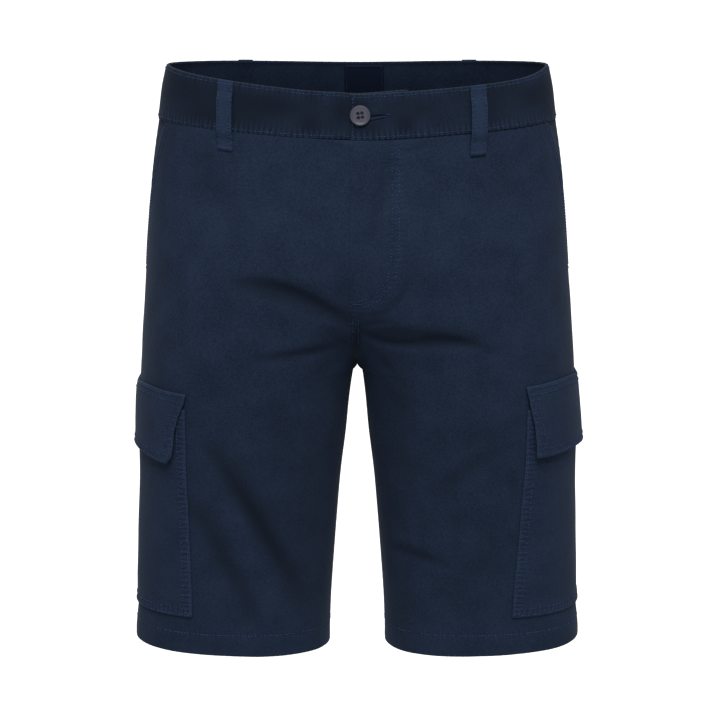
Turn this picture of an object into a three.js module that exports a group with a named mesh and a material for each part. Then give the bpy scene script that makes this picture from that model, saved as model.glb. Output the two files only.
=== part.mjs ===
// Cargo shorts: cotton cloth shell, hollow and open at the waist and at both hems.
// Millimetres. +Z up, the wearer faces -Y, the wearer's left is +X.
// The origin is the middle of the waist opening, level with its top edge at the sides.
import * as THREE from 'three';

// Driving sizes
const CLOTH_WALL = 1.6;
const SEAM_HALF_GAP = 0.15;
const REST_GAP = 0.3;
const BAND_HEIGHT = 42;
const BAND_WALL = 2.6;
const BAND_PROUD = 1.0;
const FRONT_TOP_DROP = 20.3;
const BACK_TOP_DROP = 6;
const TOP_SLOPE_LEFT = 0.6;
const TOP_SLOPE_RIGHT = 0.87;
const TOP_SLOPE_POWER = 1.27;
const TOP_CORNER_POWER = 12;
const FRONT_SEAM_DROP = 17.7;
const SIDE_SEAM_DROP = 6.8;
const SEAM_DROP_POWER = 1.2;
const WAIST_DROP_ENDS_Z = -110;
const RISE_TOP_Z = -190;
const CROTCH_Z = -276;
const SADDLE_SOFTNESS = 12;
const SADDLE_SOFT_Z = -230;
const CROTCH_SLOT = 4.2;
const CROTCH_SLOT_REACH = 8;
const CROTCH_SLOT_FULL_Z = -279.5;
const CROTCH_SLOT_ENDS_Z = -345;
const FLY_EDGE_X = -5.5;
const FLY_BOTTOM_Z = -196;
const FLY_FADE_Z = -228;
const LAP_FADES_Z = -246;
const LAP_ENDS_Z = -270;
const FLY_STEP_OUT = 0.8;
const FLY_STEP_IN = 0.7;
const FLY_STEP_REACH = 34;
const UNDERLAP_END_X = 45;
const UNDERLAP_RAMP = 40;
const UNDERLAP_RISE = 1.0;
const HEM_MIDDLE_Z = -542;
const HEM_TILT = 3;
const HEM_TILT_STARTS_Z = -480;
const HEM_FOLD_Z = -522;
const HEM_WALL = 3.0;
const MOUTH_REACH = 34;
const MOUTH_BOTTOM_Z = -190;
const FACING_WALL = 1.2;
const FACING_UNDER = 12;
const FACING_BOTTOM_Z = -176;
const FACING_CLEAR = 0.45;
const POCKET_WALL = 1.4;
const POCKET_BULGE = 0.5;
const FLAP_WALL = 2.0;
const LOOP_WIDTH = 14;
const LOOP_LENGTH = 59.5;
const LOOP_WALL = 1.6;
const LOOP_EASE = 1.8;
const LOOP_SEAT = 6;
const LOOP_RAMP = 12;
const LOOP_TOP = -0.3;
const BUTTON_X = 3.5;
const BUTTON_Z = -39;
const BUTTON_RADIUS = 9.2;
const LABEL_WALL = 0.8;

const PANEL_COLUMNS = 14;
const CENTRE_CROWDING = 1.25;
const CENTRE_PULL = 5;
const ARC_SAMPLES = 180;
const PROBE = 0.5;

// Sections through one side of the garment, top to bottom. Each is a rounded loop from
// `inner` to `outer` in x, `front` deep towards -Y and `back` deep towards +Y.
// Where `inner` is negative the loop is cut off at the centre seam.
const SECTIONS = [
  { z: 12, outer: 171.5, inner: -171.5, front: 87, back: 87, power: 2.1 },
  { z: 0, outer: 174, inner: -174, front: 88, back: 90, power: 2.1 },
  { z: -19, outer: 177.8, inner: -177.8, front: 90, back: 94, power: 2.12 },
  { z: -42, outer: 181, inner: -181, front: 94, back: 101, power: 2.15 },
  { z: -70, outer: 185.1, inner: -185.1, front: 99, back: 110, power: 2.18 },
  { z: -110, outer: 190.3, inner: -190.3, front: 106, back: 124, power: 2.22 },
  { z: -150, outer: 193.6, inner: -124, front: 112, back: 135, power: 2.26 },
  { z: -180, outer: 195.7, inner: -88, front: 114, back: 139, power: 2.28 },
  { z: -200, outer: 196.9, inner: -62, front: 113, back: 139, power: 2.3 },
  { z: -225, outer: 198.5, inner: -36, front: 111, back: 136, power: 2.3 },
  { z: -250, outer: 200.3, inner: -14, front: 108, back: 131, power: 2.3 },
  { z: -266, outer: 201.2, inner: -4.6, front: 105.6, back: 126, power: 2.3 },
  { z: -276, outer: 201.7, inner: -0.4, front: 104, back: 123, power: 2.3 },
  { z: -288, outer: 202.2, inner: 3.6, front: 102.1, back: 119.4, power: 2.3 },
  { z: -311, outer: 202.6, inner: 8.3, front: 98.5, back: 113, power: 2.3 },
  { z: -345, outer: 202.8, inner: 11.6, front: 93.5, back: 104, power: 2.3 },
  { z: -380, outer: 203, inner: 15.4, front: 89, back: 95.5, power: 2.3 },
  { z: -415, outer: 204.2, inner: 18.5, front: 84.5, back: 88, power: 2.3 },
  { z: -450, outer: 205, inner: 21.2, front: 80.5, back: 81.5, power: 2.3 },
  { z: -498, outer: 206.8, inner: 24.6, front: 76, back: 74, power: 2.3 },
  { z: -521, outer: 209, inner: 25.6, front: 74, back: 71, power: 2.3 },
  { z: -533, outer: 210, inner: 26, front: 73, back: 69.5, power: 2.3 },
  { z: -552, outer: 209.5, inner: 26, front: 72, back: 68, power: 2.3 },
];

// Heights of the cloth rows of a panel, closer together where the crotch turns under.
const PANEL_ROWS = [
  -42, -54, -72, -92, -112, -134, -155, -174, -190, -204, -216, -227, -237, -246, -254,
  -262, -269, -273.5, -277, -279, -282, -288, -299, -316, -338, -362, -387, -412, -438,
  -464, -490, -512, -520.5, -524, -533, -542,
];

// Columns of the pocket mouth's facing: place in mouths' widths and in reaches under the
// front, and how far it has dipped to lie under the front.
const FACING_COLUMNS = [
  { mouths: 0, under: 0, dip: 0 },
  { mouths: 0.35, under: 0, dip: 0.5 },
  { mouths: 0.7, under: 0, dip: 1 },
  { mouths: 1, under: 0, dip: 1 },
  { mouths: 1, under: 0.5, dip: 1 },
  { mouths: 1, under: 1, dip: 1 },
];

// Main creases: a soft trough runs from the start through the middle to the end.
// `face` is 1 on the front and -1 on the back; `depth` is how far the cloth sinks.
const CREASES = [
  { face: 1, x1: -104, z1: -186, x2: -51, z2: -192, x3: -4, z3: -222, width: 11, depth: 3.2 },
  { face: 1, x1: -80, z1: -256, x2: -42, z2: -249, x3: -4, z3: -242, width: 8, depth: 3.0 },
  { face: 1, x1: 4, z1: -235, x2: 48, z2: -240, x3: 118, z3: -244, width: 8, depth: 4.2 },
  { face: 1, x1: 2, z1: -227, x2: 26, z2: -221, x3: 54, z3: -188, width: 8, depth: 2.4 },
  { face: 1, x1: -128, z1: -336, x2: -98, z2: -390, x3: -58, z3: -490, width: 15, depth: 3.0 },
  { face: 1, x1: -146, z1: -388, x2: -122, z2: -435, x3: -86, z3: -512, width: 13, depth: 2.2 },
  { face: 1, x1: 32, z1: -424, x2: 58, z2: -458, x3: 92, z3: -484, width: 14, depth: 2.0 },
  { face: 1, x1: 92, z1: -336, x2: 122, z2: -330, x3: 152, z3: -314, width: 12, depth: 1.8 },
  { face: -1, x1: -112, z1: -252, x2: -58, z2: -266, x3: -4, z3: -262, width: 11, depth: 3.6 },
  { face: -1, x1: 4, z1: -264, x2: 62, z2: -262, x3: 104, z3: -246, width: 11, depth: 3.2 },
  { face: -1, x1: -94, z1: -196, x2: -46, z2: -222, x3: -4, z3: -236, width: 12, depth: 2.4 },
  { face: -1, x1: 4, z1: -230, x2: 52, z2: -222, x3: 88, z3: -190, width: 12, depth: 2.6 },
  { face: -1, x1: -124, z1: -342, x2: -96, z2: -400, x3: -66, z3: -486, width: 15, depth: 2.6 },
  { face: -1, x1: 132, z1: -350, x2: 104, z2: -402, x3: 62, z3: -476, width: 15, depth: 2.4 },
];
const CREASE_STEPS = 14;
const CREASE_SEAM_REACH = 22;

// Outlines of what lies on the legs, by the x of the panel point under each edge.
// In a flap, a row is raised by `arch` a quarter of the way in from each edge and by
// `middle` at the side of the leg.
const POCKET_ROWS_LEFT = [
  { z: -305, frontX: 154, backX: 160.5, bulge: 0 },
  { z: -330, frontX: 153.8, backX: 160.5, bulge: 0 },
  { z: -358, frontX: 153, backX: 160.5, bulge: 0.3 },
  { z: -390, frontX: 150.6, backX: 160.8, bulge: 0.8 },
  { z: -424, frontX: 148.5, backX: 160.8, bulge: 1 },
  { z: -458, frontX: 146.3, backX: 160.6, bulge: 0.9 },
  { z: -486, frontX: 144.3, backX: 160.4, bulge: 0.5 },
  { z: -504.5, frontX: 143.6, backX: 160, bulge: 0 },
];
const POCKET_ROWS_RIGHT = [
  { z: -305, frontX: 156.2, backX: 158.5, bulge: 0 },
  { z: -330, frontX: 156.3, backX: 158, bulge: 0 },
  { z: -358, frontX: 156.1, backX: 157.4, bulge: 0.3 },
  { z: -390, frontX: 155.2, backX: 156.4, bulge: 0.8 },
  { z: -424, frontX: 154.2, backX: 155.2, bulge: 1 },
  { z: -458, frontX: 153.4, backX: 153.8, bulge: 0.9 },
  { z: -486, frontX: 153, backX: 152.4, bulge: 0.5 },
  { z: -504.5, frontX: 153, backX: 151.6, bulge: 0 },
];
const FLAP_ROWS_LEFT = [
  { z: -283, frontX: 152.5, backX: 159, lift: 0.3, arch: 3, middle: -2.5 },
  { z: -293, frontX: 154.4, backX: 160, lift: 1.7, arch: 2.8, middle: -2 },
  { z: -304, frontX: 156.2, backX: 161, lift: 2.5, arch: 2.6, middle: -1.6 },
  { z: -319, frontX: 159.2, backX: 162, lift: 3.7, arch: 2.2, middle: -1 },
  { z: -334, frontX: 160.2, backX: 163.5, lift: 5.1, arch: 1.8, middle: -0.4 },
  { z: -348.5, frontX: 160.2, backX: 165.5, lift: 6.5, arch: 1.5, middle: 0 },
];
const FLAP_ROWS_RIGHT = [
  { z: -290.5, frontX: 155, backX: 156.5, lift: 0.3, arch: 3.4, middle: -2.5 },
  { z: -300, frontX: 157, backX: 157, lift: 1.7, arch: 3.4, middle: -1.6 },
  { z: -311, frontX: 161.1, backX: 157.6, lift: 2.5, arch: 3.3, middle: -0.4 },
  { z: -326, frontX: 164.6, backX: 158.4, lift: 3.7, arch: 3.2, middle: 1.2 },
  { z: -341, frontX: 165.2, backX: 159.4, lift: 5.1, arch: 3.1, middle: 2.9 },
  { z: -350, frontX: 166.2, backX: 160.2, lift: 6, arch: 3, middle: 3.9 },
  { z: -355.5, frontX: 170, backX: 160.8, lift: 6.5, arch: 3, middle: 4.5 },
];
const PATCH_COLUMNS = 22;

// Rows down the waistband: distance below its top edge and how full the cloth is there.
const BAND_ROWS = [
  { down: 0, full: 0.45 },
  { down: 2.5, full: 1 },
  { down: 21, full: 1.15 },
  { down: 39, full: 1 },
  { down: 41.7, full: 0.45 },
];
const BAND_STEPS = 36;

const LOOPS = [
  { name: 'belt_loop_front_right', side: -1, face: 1, x: 115.2 },
  { name: 'belt_loop_front_left', side: 1, face: 1, x: 105 },
  { name: 'belt_loop_back_right', side: -1, face: -1, x: 104 },
  { name: 'belt_loop_back_left', side: 1, face: -1, x: 104 },
];
const LOOP_ROWS = 12;

// Turned half-profile of the button: radius and height above its flat back.
const BUTTON_PROFILE = [
  { radius: 0, height: 0 },
  { radius: 7.4, height: 0 },
  { radius: 9.2, height: 1.1 },
  { radius: 9.2, height: 2.2 },
  { radius: 8.6, height: 2.9 },
  { radius: 7.6, height: 3.0 },
  { radius: 6.6, height: 2.3 },
  { radius: 0, height: 2.0 },
];
const BUTTON_STEPS = 32;

const LABEL = { x1: -11.7, x2: 24.5, top: -8, bottom: -37 };
const LABEL_COLUMNS = 4;

const FINISHES = {
  twill: { color: 0x253448, roughness: 0.93, metalness: 0 },
  button: { color: 0x45464f, roughness: 0.45, metalness: 0 },
  label: { color: 0x1b2434, roughness: 0.75, metalness: 0 },
};

// Smooth ramp from 0 at `from` to 1 at `to`.
function ramp(value, from, to) {
  const share = Math.min(1, Math.max(0, (value - from) / (to - from)));
  return share * share * (3 - 2 * share);
}

function mix(a, b, share) {
  return a + (b - a) * share;
}

// Reads one column of a table at height z along a smooth curve through its rows.
function column(rows, name, z) {
  let row = 0;
  while (row < rows.length - 2 && z < rows[row + 1].z) {
    row += 1;
  }
  const slopeAt = (k) => {
    const before = rows[Math.max(0, k - 1)];
    const after = rows[Math.min(rows.length - 1, k + 1)];
    return (after[name] - before[name]) / (after.z - before.z);
  };
  const top = rows[row];
  const low = rows[row + 1];
  const span = low.z - top.z;
  const s = (z - top.z) / span;
  const bendTop = slopeAt(row) * span;
  const bendLow = slopeAt(row + 1) * span;
  const rise = low[name] - top[name];
  return top[name] + s * (bendTop + s * (3 * rise - 2 * bendTop - bendLow
    + s * (bendTop + bendLow - 2 * rise)));
}

// A point of the cloth's outside before creases. `turn` goes round the section from the
// side line (0), positive over the front, negative over the back. Above the crotch the
// two sides run into one another at the centre in a soft saddle.
function bodyPoint(side, turn, z) {
  const outer = column(SECTIONS, 'outer', z);
  const inner = column(SECTIONS, 'inner', z);
  const power = column(SECTIONS, 'power', z);
  const across = (outer - inner) / 2;
  const deep = column(SECTIONS, turn > 0 ? 'front' : 'back', z);
  const c = Math.cos(turn);
  const s = Math.sin(turn);
  const reach = (Math.abs(c / across) ** power + Math.abs(s / deep) ** power) ** (-1 / power);
  const middle = (outer + inner) / 2;
  const x = middle + reach * c;
  let y = -reach * s;
  const soft = SADDLE_SOFTNESS * ramp(z, CROTCH_Z, SADDLE_SOFT_Z);
  if (soft > 0 && x < middle) {
    const off = Math.min(1, Math.abs(middle - Math.hypot(x, soft)) / across);
    y = -Math.sign(s) * deep * (1 - off ** power) ** (1 / power);
  }
  const slot = CROTCH_SLOT * ramp(z, CROTCH_Z, CROTCH_SLOT_FULL_Z)
    * ramp(z, CROTCH_SLOT_ENDS_Z, CROTCH_SLOT_FULL_Z);
  const parted = x + slot * Math.exp(-Math.max(0, x) / CROTCH_SLOT_REACH);
  return new THREE.Vector3(side * parted, y, z);
}

function bodyNormal(side, turn, z) {
  const round = bodyPoint(side, turn + PROBE / 100, z).sub(bodyPoint(side, turn - PROBE / 100, z));
  const down = bodyPoint(side, turn, z - PROBE).sub(bodyPoint(side, turn, z + PROBE));
  return round.cross(down).multiplyScalar(side).normalize();
}

// How far the creases sink the cloth at a point.
function creaseDepth(point) {
  let depth = 0;
  for (const crease of CREASES) {
    const facing = ramp(-point.y * crease.face, 8, 45);
    let nearest = Infinity;
    let along = 0;
    for (let k = 0; k <= CREASE_STEPS; k += 1) {
      const s = k / CREASE_STEPS;
      const x = mix(mix(crease.x1, crease.x2, s), mix(crease.x2, crease.x3, s), s);
      const z = mix(mix(crease.z1, crease.z2, s), mix(crease.z2, crease.z3, s), s);
      const distance = Math.hypot(point.x - x, point.z - z);
      if (distance < nearest) {
        nearest = distance;
        along = s;
      }
    }
    const ends = 0.35 + 0.65 * Math.sin(Math.PI * along);
    depth += facing * ends * crease.depth * Math.exp(-((nearest / crease.width) ** 2));
  }
  return depth;
}

// The fly edge stands proud on the wearer's left front and the right front lies under it.
function flyLift(side, point) {
  const height = ramp(point.z, FLY_FADE_Z, FLY_BOTTOM_Z) * ramp(-point.y, 20, 60);
  const away = Math.abs(point.x - FLY_EDGE_X);
  const near = 1 - ramp(away, 0, FLY_STEP_REACH);
  return height * near * (side > 0 ? FLY_STEP_OUT : -FLY_STEP_IN);
}

// A point at `lift` above the finished outside of the cloth. Creases and the fly's step
// leave the centre seam in its own upright plane.
function clothPoint(side, turn, z, lift) {
  const point = bodyPoint(side, turn, z);
  const normal = bodyNormal(side, turn, z);
  const shaping = normal.clone().multiplyScalar(flyLift(side, point) - creaseDepth(point));
  shaping.x *= ramp(Math.abs(point.x - (point.y < 0 ? frontSeamX(z) : 0)), 0, CREASE_SEAM_REACH);
  return point.add(shaping).addScaledVector(normal, lift);
}

// How far out a turn lies at the waistband's middle: 0 at the centre, 1 at the side.
function waistOff(turn) {
  const level = -BAND_HEIGHT / 2;
  return Math.min(1, Math.abs(bodyPoint(1, turn, level).x) / column(SECTIONS, 'outer', level));
}

// How far the waistband's top edge dips: quickly at the side, then evenly to the front.
function topDrop(side, turn) {
  if (turn <= 0) {
    return BACK_TOP_DROP * Math.abs(Math.sin(turn));
  }
  const off = waistOff(turn);
  const slope = side > 0 ? TOP_SLOPE_LEFT : TOP_SLOPE_RIGHT;
  const rise = slope * off ** TOP_SLOPE_POWER + (1 - slope) * off ** TOP_CORNER_POWER;
  return FRONT_TOP_DROP * (1 - rise);
}

// How far the waist seam dips below the waistband's even height.
function seamDrop(turn) {
  const inward = turn > 0 ? 1 - waistOff(turn) ** SEAM_DROP_POWER : 0;
  return mix(SIDE_SEAM_DROP, FRONT_SEAM_DROP, inward);
}

// Height of a panel row at one turn: rows follow the waist seam above and the hem below.
function rowHeight(turn, rowZ) {
  const waist = ramp(rowZ, WAIST_DROP_ENDS_Z, -BAND_HEIGHT);
  const hem = ramp(rowZ, HEM_TILT_STARTS_Z, HEM_MIDDLE_Z);
  return rowZ - waist * seamDrop(turn) + hem * HEM_TILT * Math.cos(turn);
}

// The x of the front centre seam: the fly edge above, the middle at the crotch.
function frontSeamX(z) {
  return FLY_EDGE_X * ramp(z, LAP_ENDS_Z, LAP_FADES_Z);
}

// The turn at which a row meets its centre seam or inseam, by halving the interval.
function centreTurn(side, face, rowZ) {
  const isInside = (turn) => {
    const point = bodyPoint(side, face * turn, rowHeight(face * turn, rowZ));
    const seam = face > 0 ? frontSeamX(point.z) : 0;
    const clearOfSeam = side * (point.x - seam) > SEAM_HALF_GAP;
    return clearOfSeam && Math.abs(point.y) > SEAM_HALF_GAP;
  };
  let low = Math.PI / 4;
  let high = Math.PI;
  for (let k = 0; k < 40; k += 1) {
    const middle = (low + high) / 2;
    if (isInside(middle)) {
      low = middle;
    } else {
      high = middle;
    }
  }
  return low;
}

// Turns of a row at the arc lengths from the side line that `arcsOf` gives. It is handed
// the arc to the centre seam and the arc round the whole loop.
function rowTurns(side, face, rowZ, arcsOf) {
  const arcs = [0];
  let last = bodyPoint(side, 0, rowHeight(0, rowZ));
  for (let k = 1; k <= ARC_SAMPLES; k += 1) {
    const turn = face * Math.PI * k / ARC_SAMPLES;
    const next = bodyPoint(side, turn, rowHeight(turn, rowZ));
    arcs.push(arcs[k - 1] + next.distanceTo(last));
    last = next;
  }
  const endTurn = centreTurn(side, face, rowZ);
  const endSample = Math.min(ARC_SAMPLES - 1, Math.floor(endTurn / Math.PI * ARC_SAMPLES));
  const endShare = endTurn / Math.PI * ARC_SAMPLES - endSample;
  const endArc = mix(arcs[endSample], arcs[endSample + 1], endShare);
  let sample = 0;
  return arcsOf(endArc, arcs[ARC_SAMPLES]).map((arc) => {
    while (sample < ARC_SAMPLES - 1 && arcs[sample + 1] < arc) {
      sample += 1;
    }
    const share = (arc - arcs[sample]) / (arcs[sample + 1] - arcs[sample]);
    return face * Math.min(endTurn, Math.PI * (sample + share) / ARC_SAMPLES);
  });
}

// Arc lengths of a panel's columns: crowded at the centre seam, and only the columns next
// to it follow the crotch curve.
function panelArcs(rowZ, start, total, full) {
  const evened = mix(total, full, ramp(rowZ, RISE_TOP_Z, CROTCH_Z));
  return Array.from({ length: PANEL_COLUMNS + 1 }, (_, k) => {
    const share = 1 - (1 - k / PANEL_COLUMNS) ** CENTRE_CROWDING;
    return mix(start, evened, share) + (total - evened) * share ** CENTRE_PULL;
  });
}

// The side pocket's mouth runs slanting from the waist seam down to the side line.
function mouthReach(z) {
  const share = (z - MOUTH_BOTTOM_Z) / (-BAND_HEIGHT - MOUTH_BOTTOM_Z);
  return MOUTH_REACH * Math.max(0, share);
}

// A closed solid between two grids of points of the same size.
function slab(outside, inside) {
  const rows = outside.length;
  const columns = outside[0].length;
  const points = [];
  for (const grid of [outside, inside]) {
    for (const row of grid) {
      for (const point of row) {
        points.push(point.x, point.y, point.z);
      }
    }
  }
  const layer = rows * columns;
  const index = [];
  const quad = (a, b, c, d) => index.push(a, b, c, a, c, d);
  for (let r = 0; r < rows - 1; r += 1) {
    for (let c = 0; c < columns - 1; c += 1) {
      const a = r * columns + c;
      const b = a + columns;
      const falling = outside[r][c].distanceTo(outside[r + 1][c + 1]);
      const rising = outside[r + 1][c].distanceTo(outside[r][c + 1]);
      if (falling < rising) {
        quad(a, b, b + 1, a + 1);
        quad(layer + b + 1, layer + b, layer + a, layer + a + 1);
      } else {
        quad(b, b + 1, a + 1, a);
        quad(layer + b, layer + a, layer + a + 1, layer + b + 1);
      }
    }
  }
  for (let c = 0; c < columns - 1; c += 1) {
    const low = (rows - 1) * columns + c;
    quad(c, c + 1, layer + c + 1, layer + c);
    quad(low + 1, low, layer + low, layer + low + 1);
  }
  for (let r = 0; r < rows - 1; r += 1) {
    const left = r * columns;
    const right = left + columns - 1;
    quad(left + columns, left, layer + left, layer + left + columns);
    quad(right, right + columns, layer + right + columns, layer + right);
  }
  return solid(points, index);
}

// Turns a solid's faces outward and gives it normals.
function solid(points, index) {
  const corner = (k) => new THREE.Vector3(points[3 * k], points[3 * k + 1], points[3 * k + 2]);
  let volume = 0;
  for (let k = 0; k < index.length; k += 3) {
    volume += corner(index[k]).dot(corner(index[k + 1]).cross(corner(index[k + 2])));
  }
  if (volume < 0) {
    for (let k = 0; k < index.length; k += 3) {
      [index[k + 1], index[k + 2]] = [index[k + 2], index[k + 1]];
    }
  }
  const geometry = new THREE.BufferGeometry();
  geometry.setAttribute('position', new THREE.Float32BufferAttribute(points, 3));
  geometry.setIndex(index);
  geometry.computeVertexNormals();
  return geometry;
}

const shorts = new THREE.Group();
shorts.name = 'cargo_shorts';

function addPiece(name, geometry, finish) {
  const mesh = new THREE.Mesh(geometry, new THREE.MeshStandardMaterial(FINISHES[finish]));
  mesh.name = name;
  shorts.add(mesh);
}

// One front or back: a sheet from the waist seam to the hem, turned up thicker at the hem.
function panel(side, face) {
  const outside = [];
  const inside = [];
  PANEL_ROWS.forEach((rowZ, row) => {
    const nominal = row === 0 ? rowZ - SEAM_HALF_GAP : rowZ;
    const start = SEAM_HALF_GAP + (face > 0 ? mouthReach(nominal) : 0);
    const turns = rowTurns(side, face, nominal, (total, full) => (
      panelArcs(nominal, start, total, full)));
    const wall = nominal < HEM_FOLD_Z ? HEM_WALL : CLOTH_WALL;
    outside.push(turns.map((turn) => clothPoint(side, turn, rowHeight(turn, nominal), 0)));
    inside.push(turns.map((turn) => clothPoint(side, turn, rowHeight(turn, nominal), -wall)));
  });
  return slab(outside, inside);
}

// The cloth seen in the side pocket's mouth: joins the side seam, dips under the front.
function mouthFacing(side) {
  const rows = PANEL_ROWS.filter((z) => z > FACING_BOTTOM_Z);
  rows.push(FACING_BOTTOM_Z);
  const outside = [];
  const inside = [];
  rows.forEach((rowZ, row) => {
    const nominal = row === 0 ? rowZ - SEAM_HALF_GAP : rowZ;
    const mouth = mouthReach(nominal);
    const turns = rowTurns(side, 1, nominal, () => FACING_COLUMNS.map(({ mouths, under }) => (
      SEAM_HALF_GAP + mouths * mouth + under * FACING_UNDER)));
    const place = (sunk) => turns.map((turn, k) => {
      const lift = -(CLOTH_WALL + REST_GAP + FACING_CLEAR) * FACING_COLUMNS[k].dip;
      return clothPoint(side, turn, rowHeight(turn, nominal), lift - sunk);
    });
    outside.push(place(0));
    inside.push(place(FACING_WALL));
  });
  return slab(outside, inside);
}

// The turn at which a leg section reaches a given x on its front (+1) or back (-1).
function turnAtX(face, z, x) {
  let low = 0;
  let high = Math.PI / 2;
  for (let k = 0; k < 40; k += 1) {
    const middle = (low + high) / 2;
    if (bodyPoint(1, face * middle, z).x > x) {
      low = middle;
    } else {
      high = middle;
    }
  }
  return face * low;
}

// A piece lying on the leg between a front and a back edge, made from the leg's points.
function patch(side, rows, wall, liftAt, zAt) {
  const outside = [];
  const inside = [];
  for (const row of rows) {
    const start = turnAtX(1, row.z, row.frontX);
    const end = turnAtX(-1, row.z, row.backX);
    const lower = [];
    const upper = [];
    for (let k = 0; k <= PATCH_COLUMNS; k += 1) {
      const share = k / PATCH_COLUMNS;
      const turn = mix(start, end, share);
      const lift = liftAt(row, share);
      const z = row.z + zAt(row, share);
      lower.push(clothPoint(side, turn, z, lift));
      upper.push(clothPoint(side, turn, z, lift + wall));
    }
    inside.push(lower);
    outside.push(upper);
  }
  return slab(outside, inside);
}

function cargoPocket(side) {
  const rows = side > 0 ? POCKET_ROWS_LEFT : POCKET_ROWS_RIGHT;
  const liftAt = (row, share) => (
    REST_GAP + POCKET_BULGE * row.bulge * Math.sin(Math.PI * share));
  return patch(side, rows, POCKET_WALL, liftAt, () => 0);
}

function cargoFlap(side) {
  const rows = side > 0 ? FLAP_ROWS_LEFT : FLAP_ROWS_RIGHT;
  const zAt = (row, share) => row.arch * Math.sin(2 * Math.PI * share) ** 2
    + row.middle * Math.sin(Math.PI * share) ** 2;
  return patch(side, rows, FLAP_WALL, (row) => row.lift, zAt);
}

// The waistband: from its end at the fly edge round the waist, then under itself.
function waistband() {
  const stations = [];
  const leftStart = turnAtWaistX(FLY_EDGE_X);
  const rightEnd = turnAtWaistX(-UNDERLAP_END_X);
  const half = Math.PI / 2;
  for (let k = 0; k < BAND_STEPS; k += 1) {
    stations.push({ side: 1, turn: mix(leftStart, -half, k / BAND_STEPS) });
  }
  for (let k = 0; k < BAND_STEPS; k += 1) {
    stations.push({ side: -1, turn: mix(-half, turnAtWaistX(-FLY_EDGE_X + 3), k / BAND_STEPS) });
  }
  const underSteps = 6;
  for (let k = 0; k <= underSteps; k += 1) {
    const turn = mix(turnAtWaistX(-FLY_EDGE_X + 3), rightEnd, k / underSteps);
    stations.push({ side: -1, turn });
  }
  const sunk = BAND_WALL + REST_GAP;
  const grid = (depth) => stations.map(({ side, turn }) => BAND_ROWS.map(({ down, full }) => {
    const x = bodyPoint(side, turn, -BAND_HEIGHT / 2).x;
    const atFront = turn > 0 && side < 0;
    const under = atFront ? ramp(x, FLY_EDGE_X - 3 - UNDERLAP_RAMP, FLY_EDGE_X - 3) : 0;
    const drop = mix(topDrop(side, turn), seamDrop(turn), down / BAND_HEIGHT);
    const z = -down - drop + UNDERLAP_RISE * under;
    const lift = BAND_PROUD * full - sunk * under;
    const point = bodyPoint(side, turn, z);
    return point.addScaledVector(bodyNormal(side, turn, z), lift - depth);
  }));
  return slab(grid(0), grid(BAND_WALL));
}

// The turn at which the waistband's middle line reaches an x on the front.
function turnAtWaistX(x) {
  let low = 0;
  let high = Math.PI;
  for (let k = 0; k < 40; k += 1) {
    const middle = (low + high) / 2;
    if (bodyPoint(1, middle, -BAND_HEIGHT / 2).x > x) {
      low = middle;
    } else {
      high = middle;
    }
  }
  return low;
}

// A belt loop: sewn down at the band's top edge and below the waist seam, eased between.
function beltLoop({ side, face, x }) {
  const outside = [];
  const inside = [];
  for (let k = 0; k <= LOOP_ROWS; k += 1) {
    const down = LOOP_TOP + LOOP_LENGTH * k / LOOP_ROWS;
    const rise = ramp(down, LOOP_SEAT, LOOP_SEAT + LOOP_RAMP)
      * (1 - ramp(down, LOOP_LENGTH - LOOP_SEAT - LOOP_RAMP, LOOP_LENGTH - LOOP_SEAT));
    const middle = turnAtX(face, -down, x);
    const seam = BAND_HEIGHT + seamDrop(middle) - topDrop(side, middle);
    const ground = BAND_PROUD * BAND_ROWS[2].full * (1 - ramp(down, seam + 1, seam + 9));
    const lift = ground + REST_GAP + LOOP_EASE * rise;
    const lower = [];
    const upper = [];
    for (const share of [-0.5, 0, 0.5]) {
      const across = LOOP_WIDTH * Math.abs(bodyNormal(1, middle, -down).y);
      const turn = turnAtX(face, -down, x + share * across);
      const z = -down - topDrop(side, turn);
      lower.push(clothPoint(side, turn, z, lift));
      upper.push(clothPoint(side, turn, z, lift + LOOP_WALL));
    }
    inside.push(lower);
    outside.push(upper);
  }
  return slab(outside, inside);
}

// The button: a turned disc with a raised rim, lying against the band's front.
function button() {
  const turn = turnAtWaistX(BUTTON_X);
  const normal = bodyNormal(1, turn, BUTTON_Z);
  const seat = bodyPoint(1, turn, BUTTON_Z).addScaledVector(normal, BAND_PROUD * 1.15 + 0.45);
  const upright = new THREE.Vector3(0, 1, 0);
  const toFace = new THREE.Quaternion().setFromUnitVectors(upright, normal);
  const points = [];
  const ringStart = [];
  for (const { radius, height } of BUTTON_PROFILE) {
    ringStart.push(points.length / 3);
    const steps = radius === 0 ? 1 : BUTTON_STEPS;
    for (let k = 0; k < steps; k += 1) {
      const angle = 2 * Math.PI * k / BUTTON_STEPS;
      const share = radius / BUTTON_PROFILE[2].radius * BUTTON_RADIUS;
      const point = new THREE.Vector3(share * Math.cos(angle), height, share * Math.sin(angle));
      point.applyQuaternion(toFace).add(seat);
      points.push(point.x, point.y, point.z);
    }
  }
  const index = [];
  for (let ring = 0; ring < BUTTON_PROFILE.length - 1; ring += 1) {
    const isFan = BUTTON_PROFILE[ring].radius === 0;
    const isCap = BUTTON_PROFILE[ring + 1].radius === 0;
    for (let k = 0; k < BUTTON_STEPS; k += 1) {
      const next = (k + 1) % BUTTON_STEPS;
      const a = ringStart[ring] + (isFan ? 0 : k);
      const b = ringStart[ring] + (isFan ? 0 : next);
      const c = ringStart[ring + 1] + (isCap ? 0 : k);
      const d = ringStart[ring + 1] + (isCap ? 0 : next);
      if (!isFan) {
        index.push(a, b, c);
      }
      if (!isCap) {
        index.push(b, d, c);
      }
    }
  }
  return solid(points, index);
}

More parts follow.
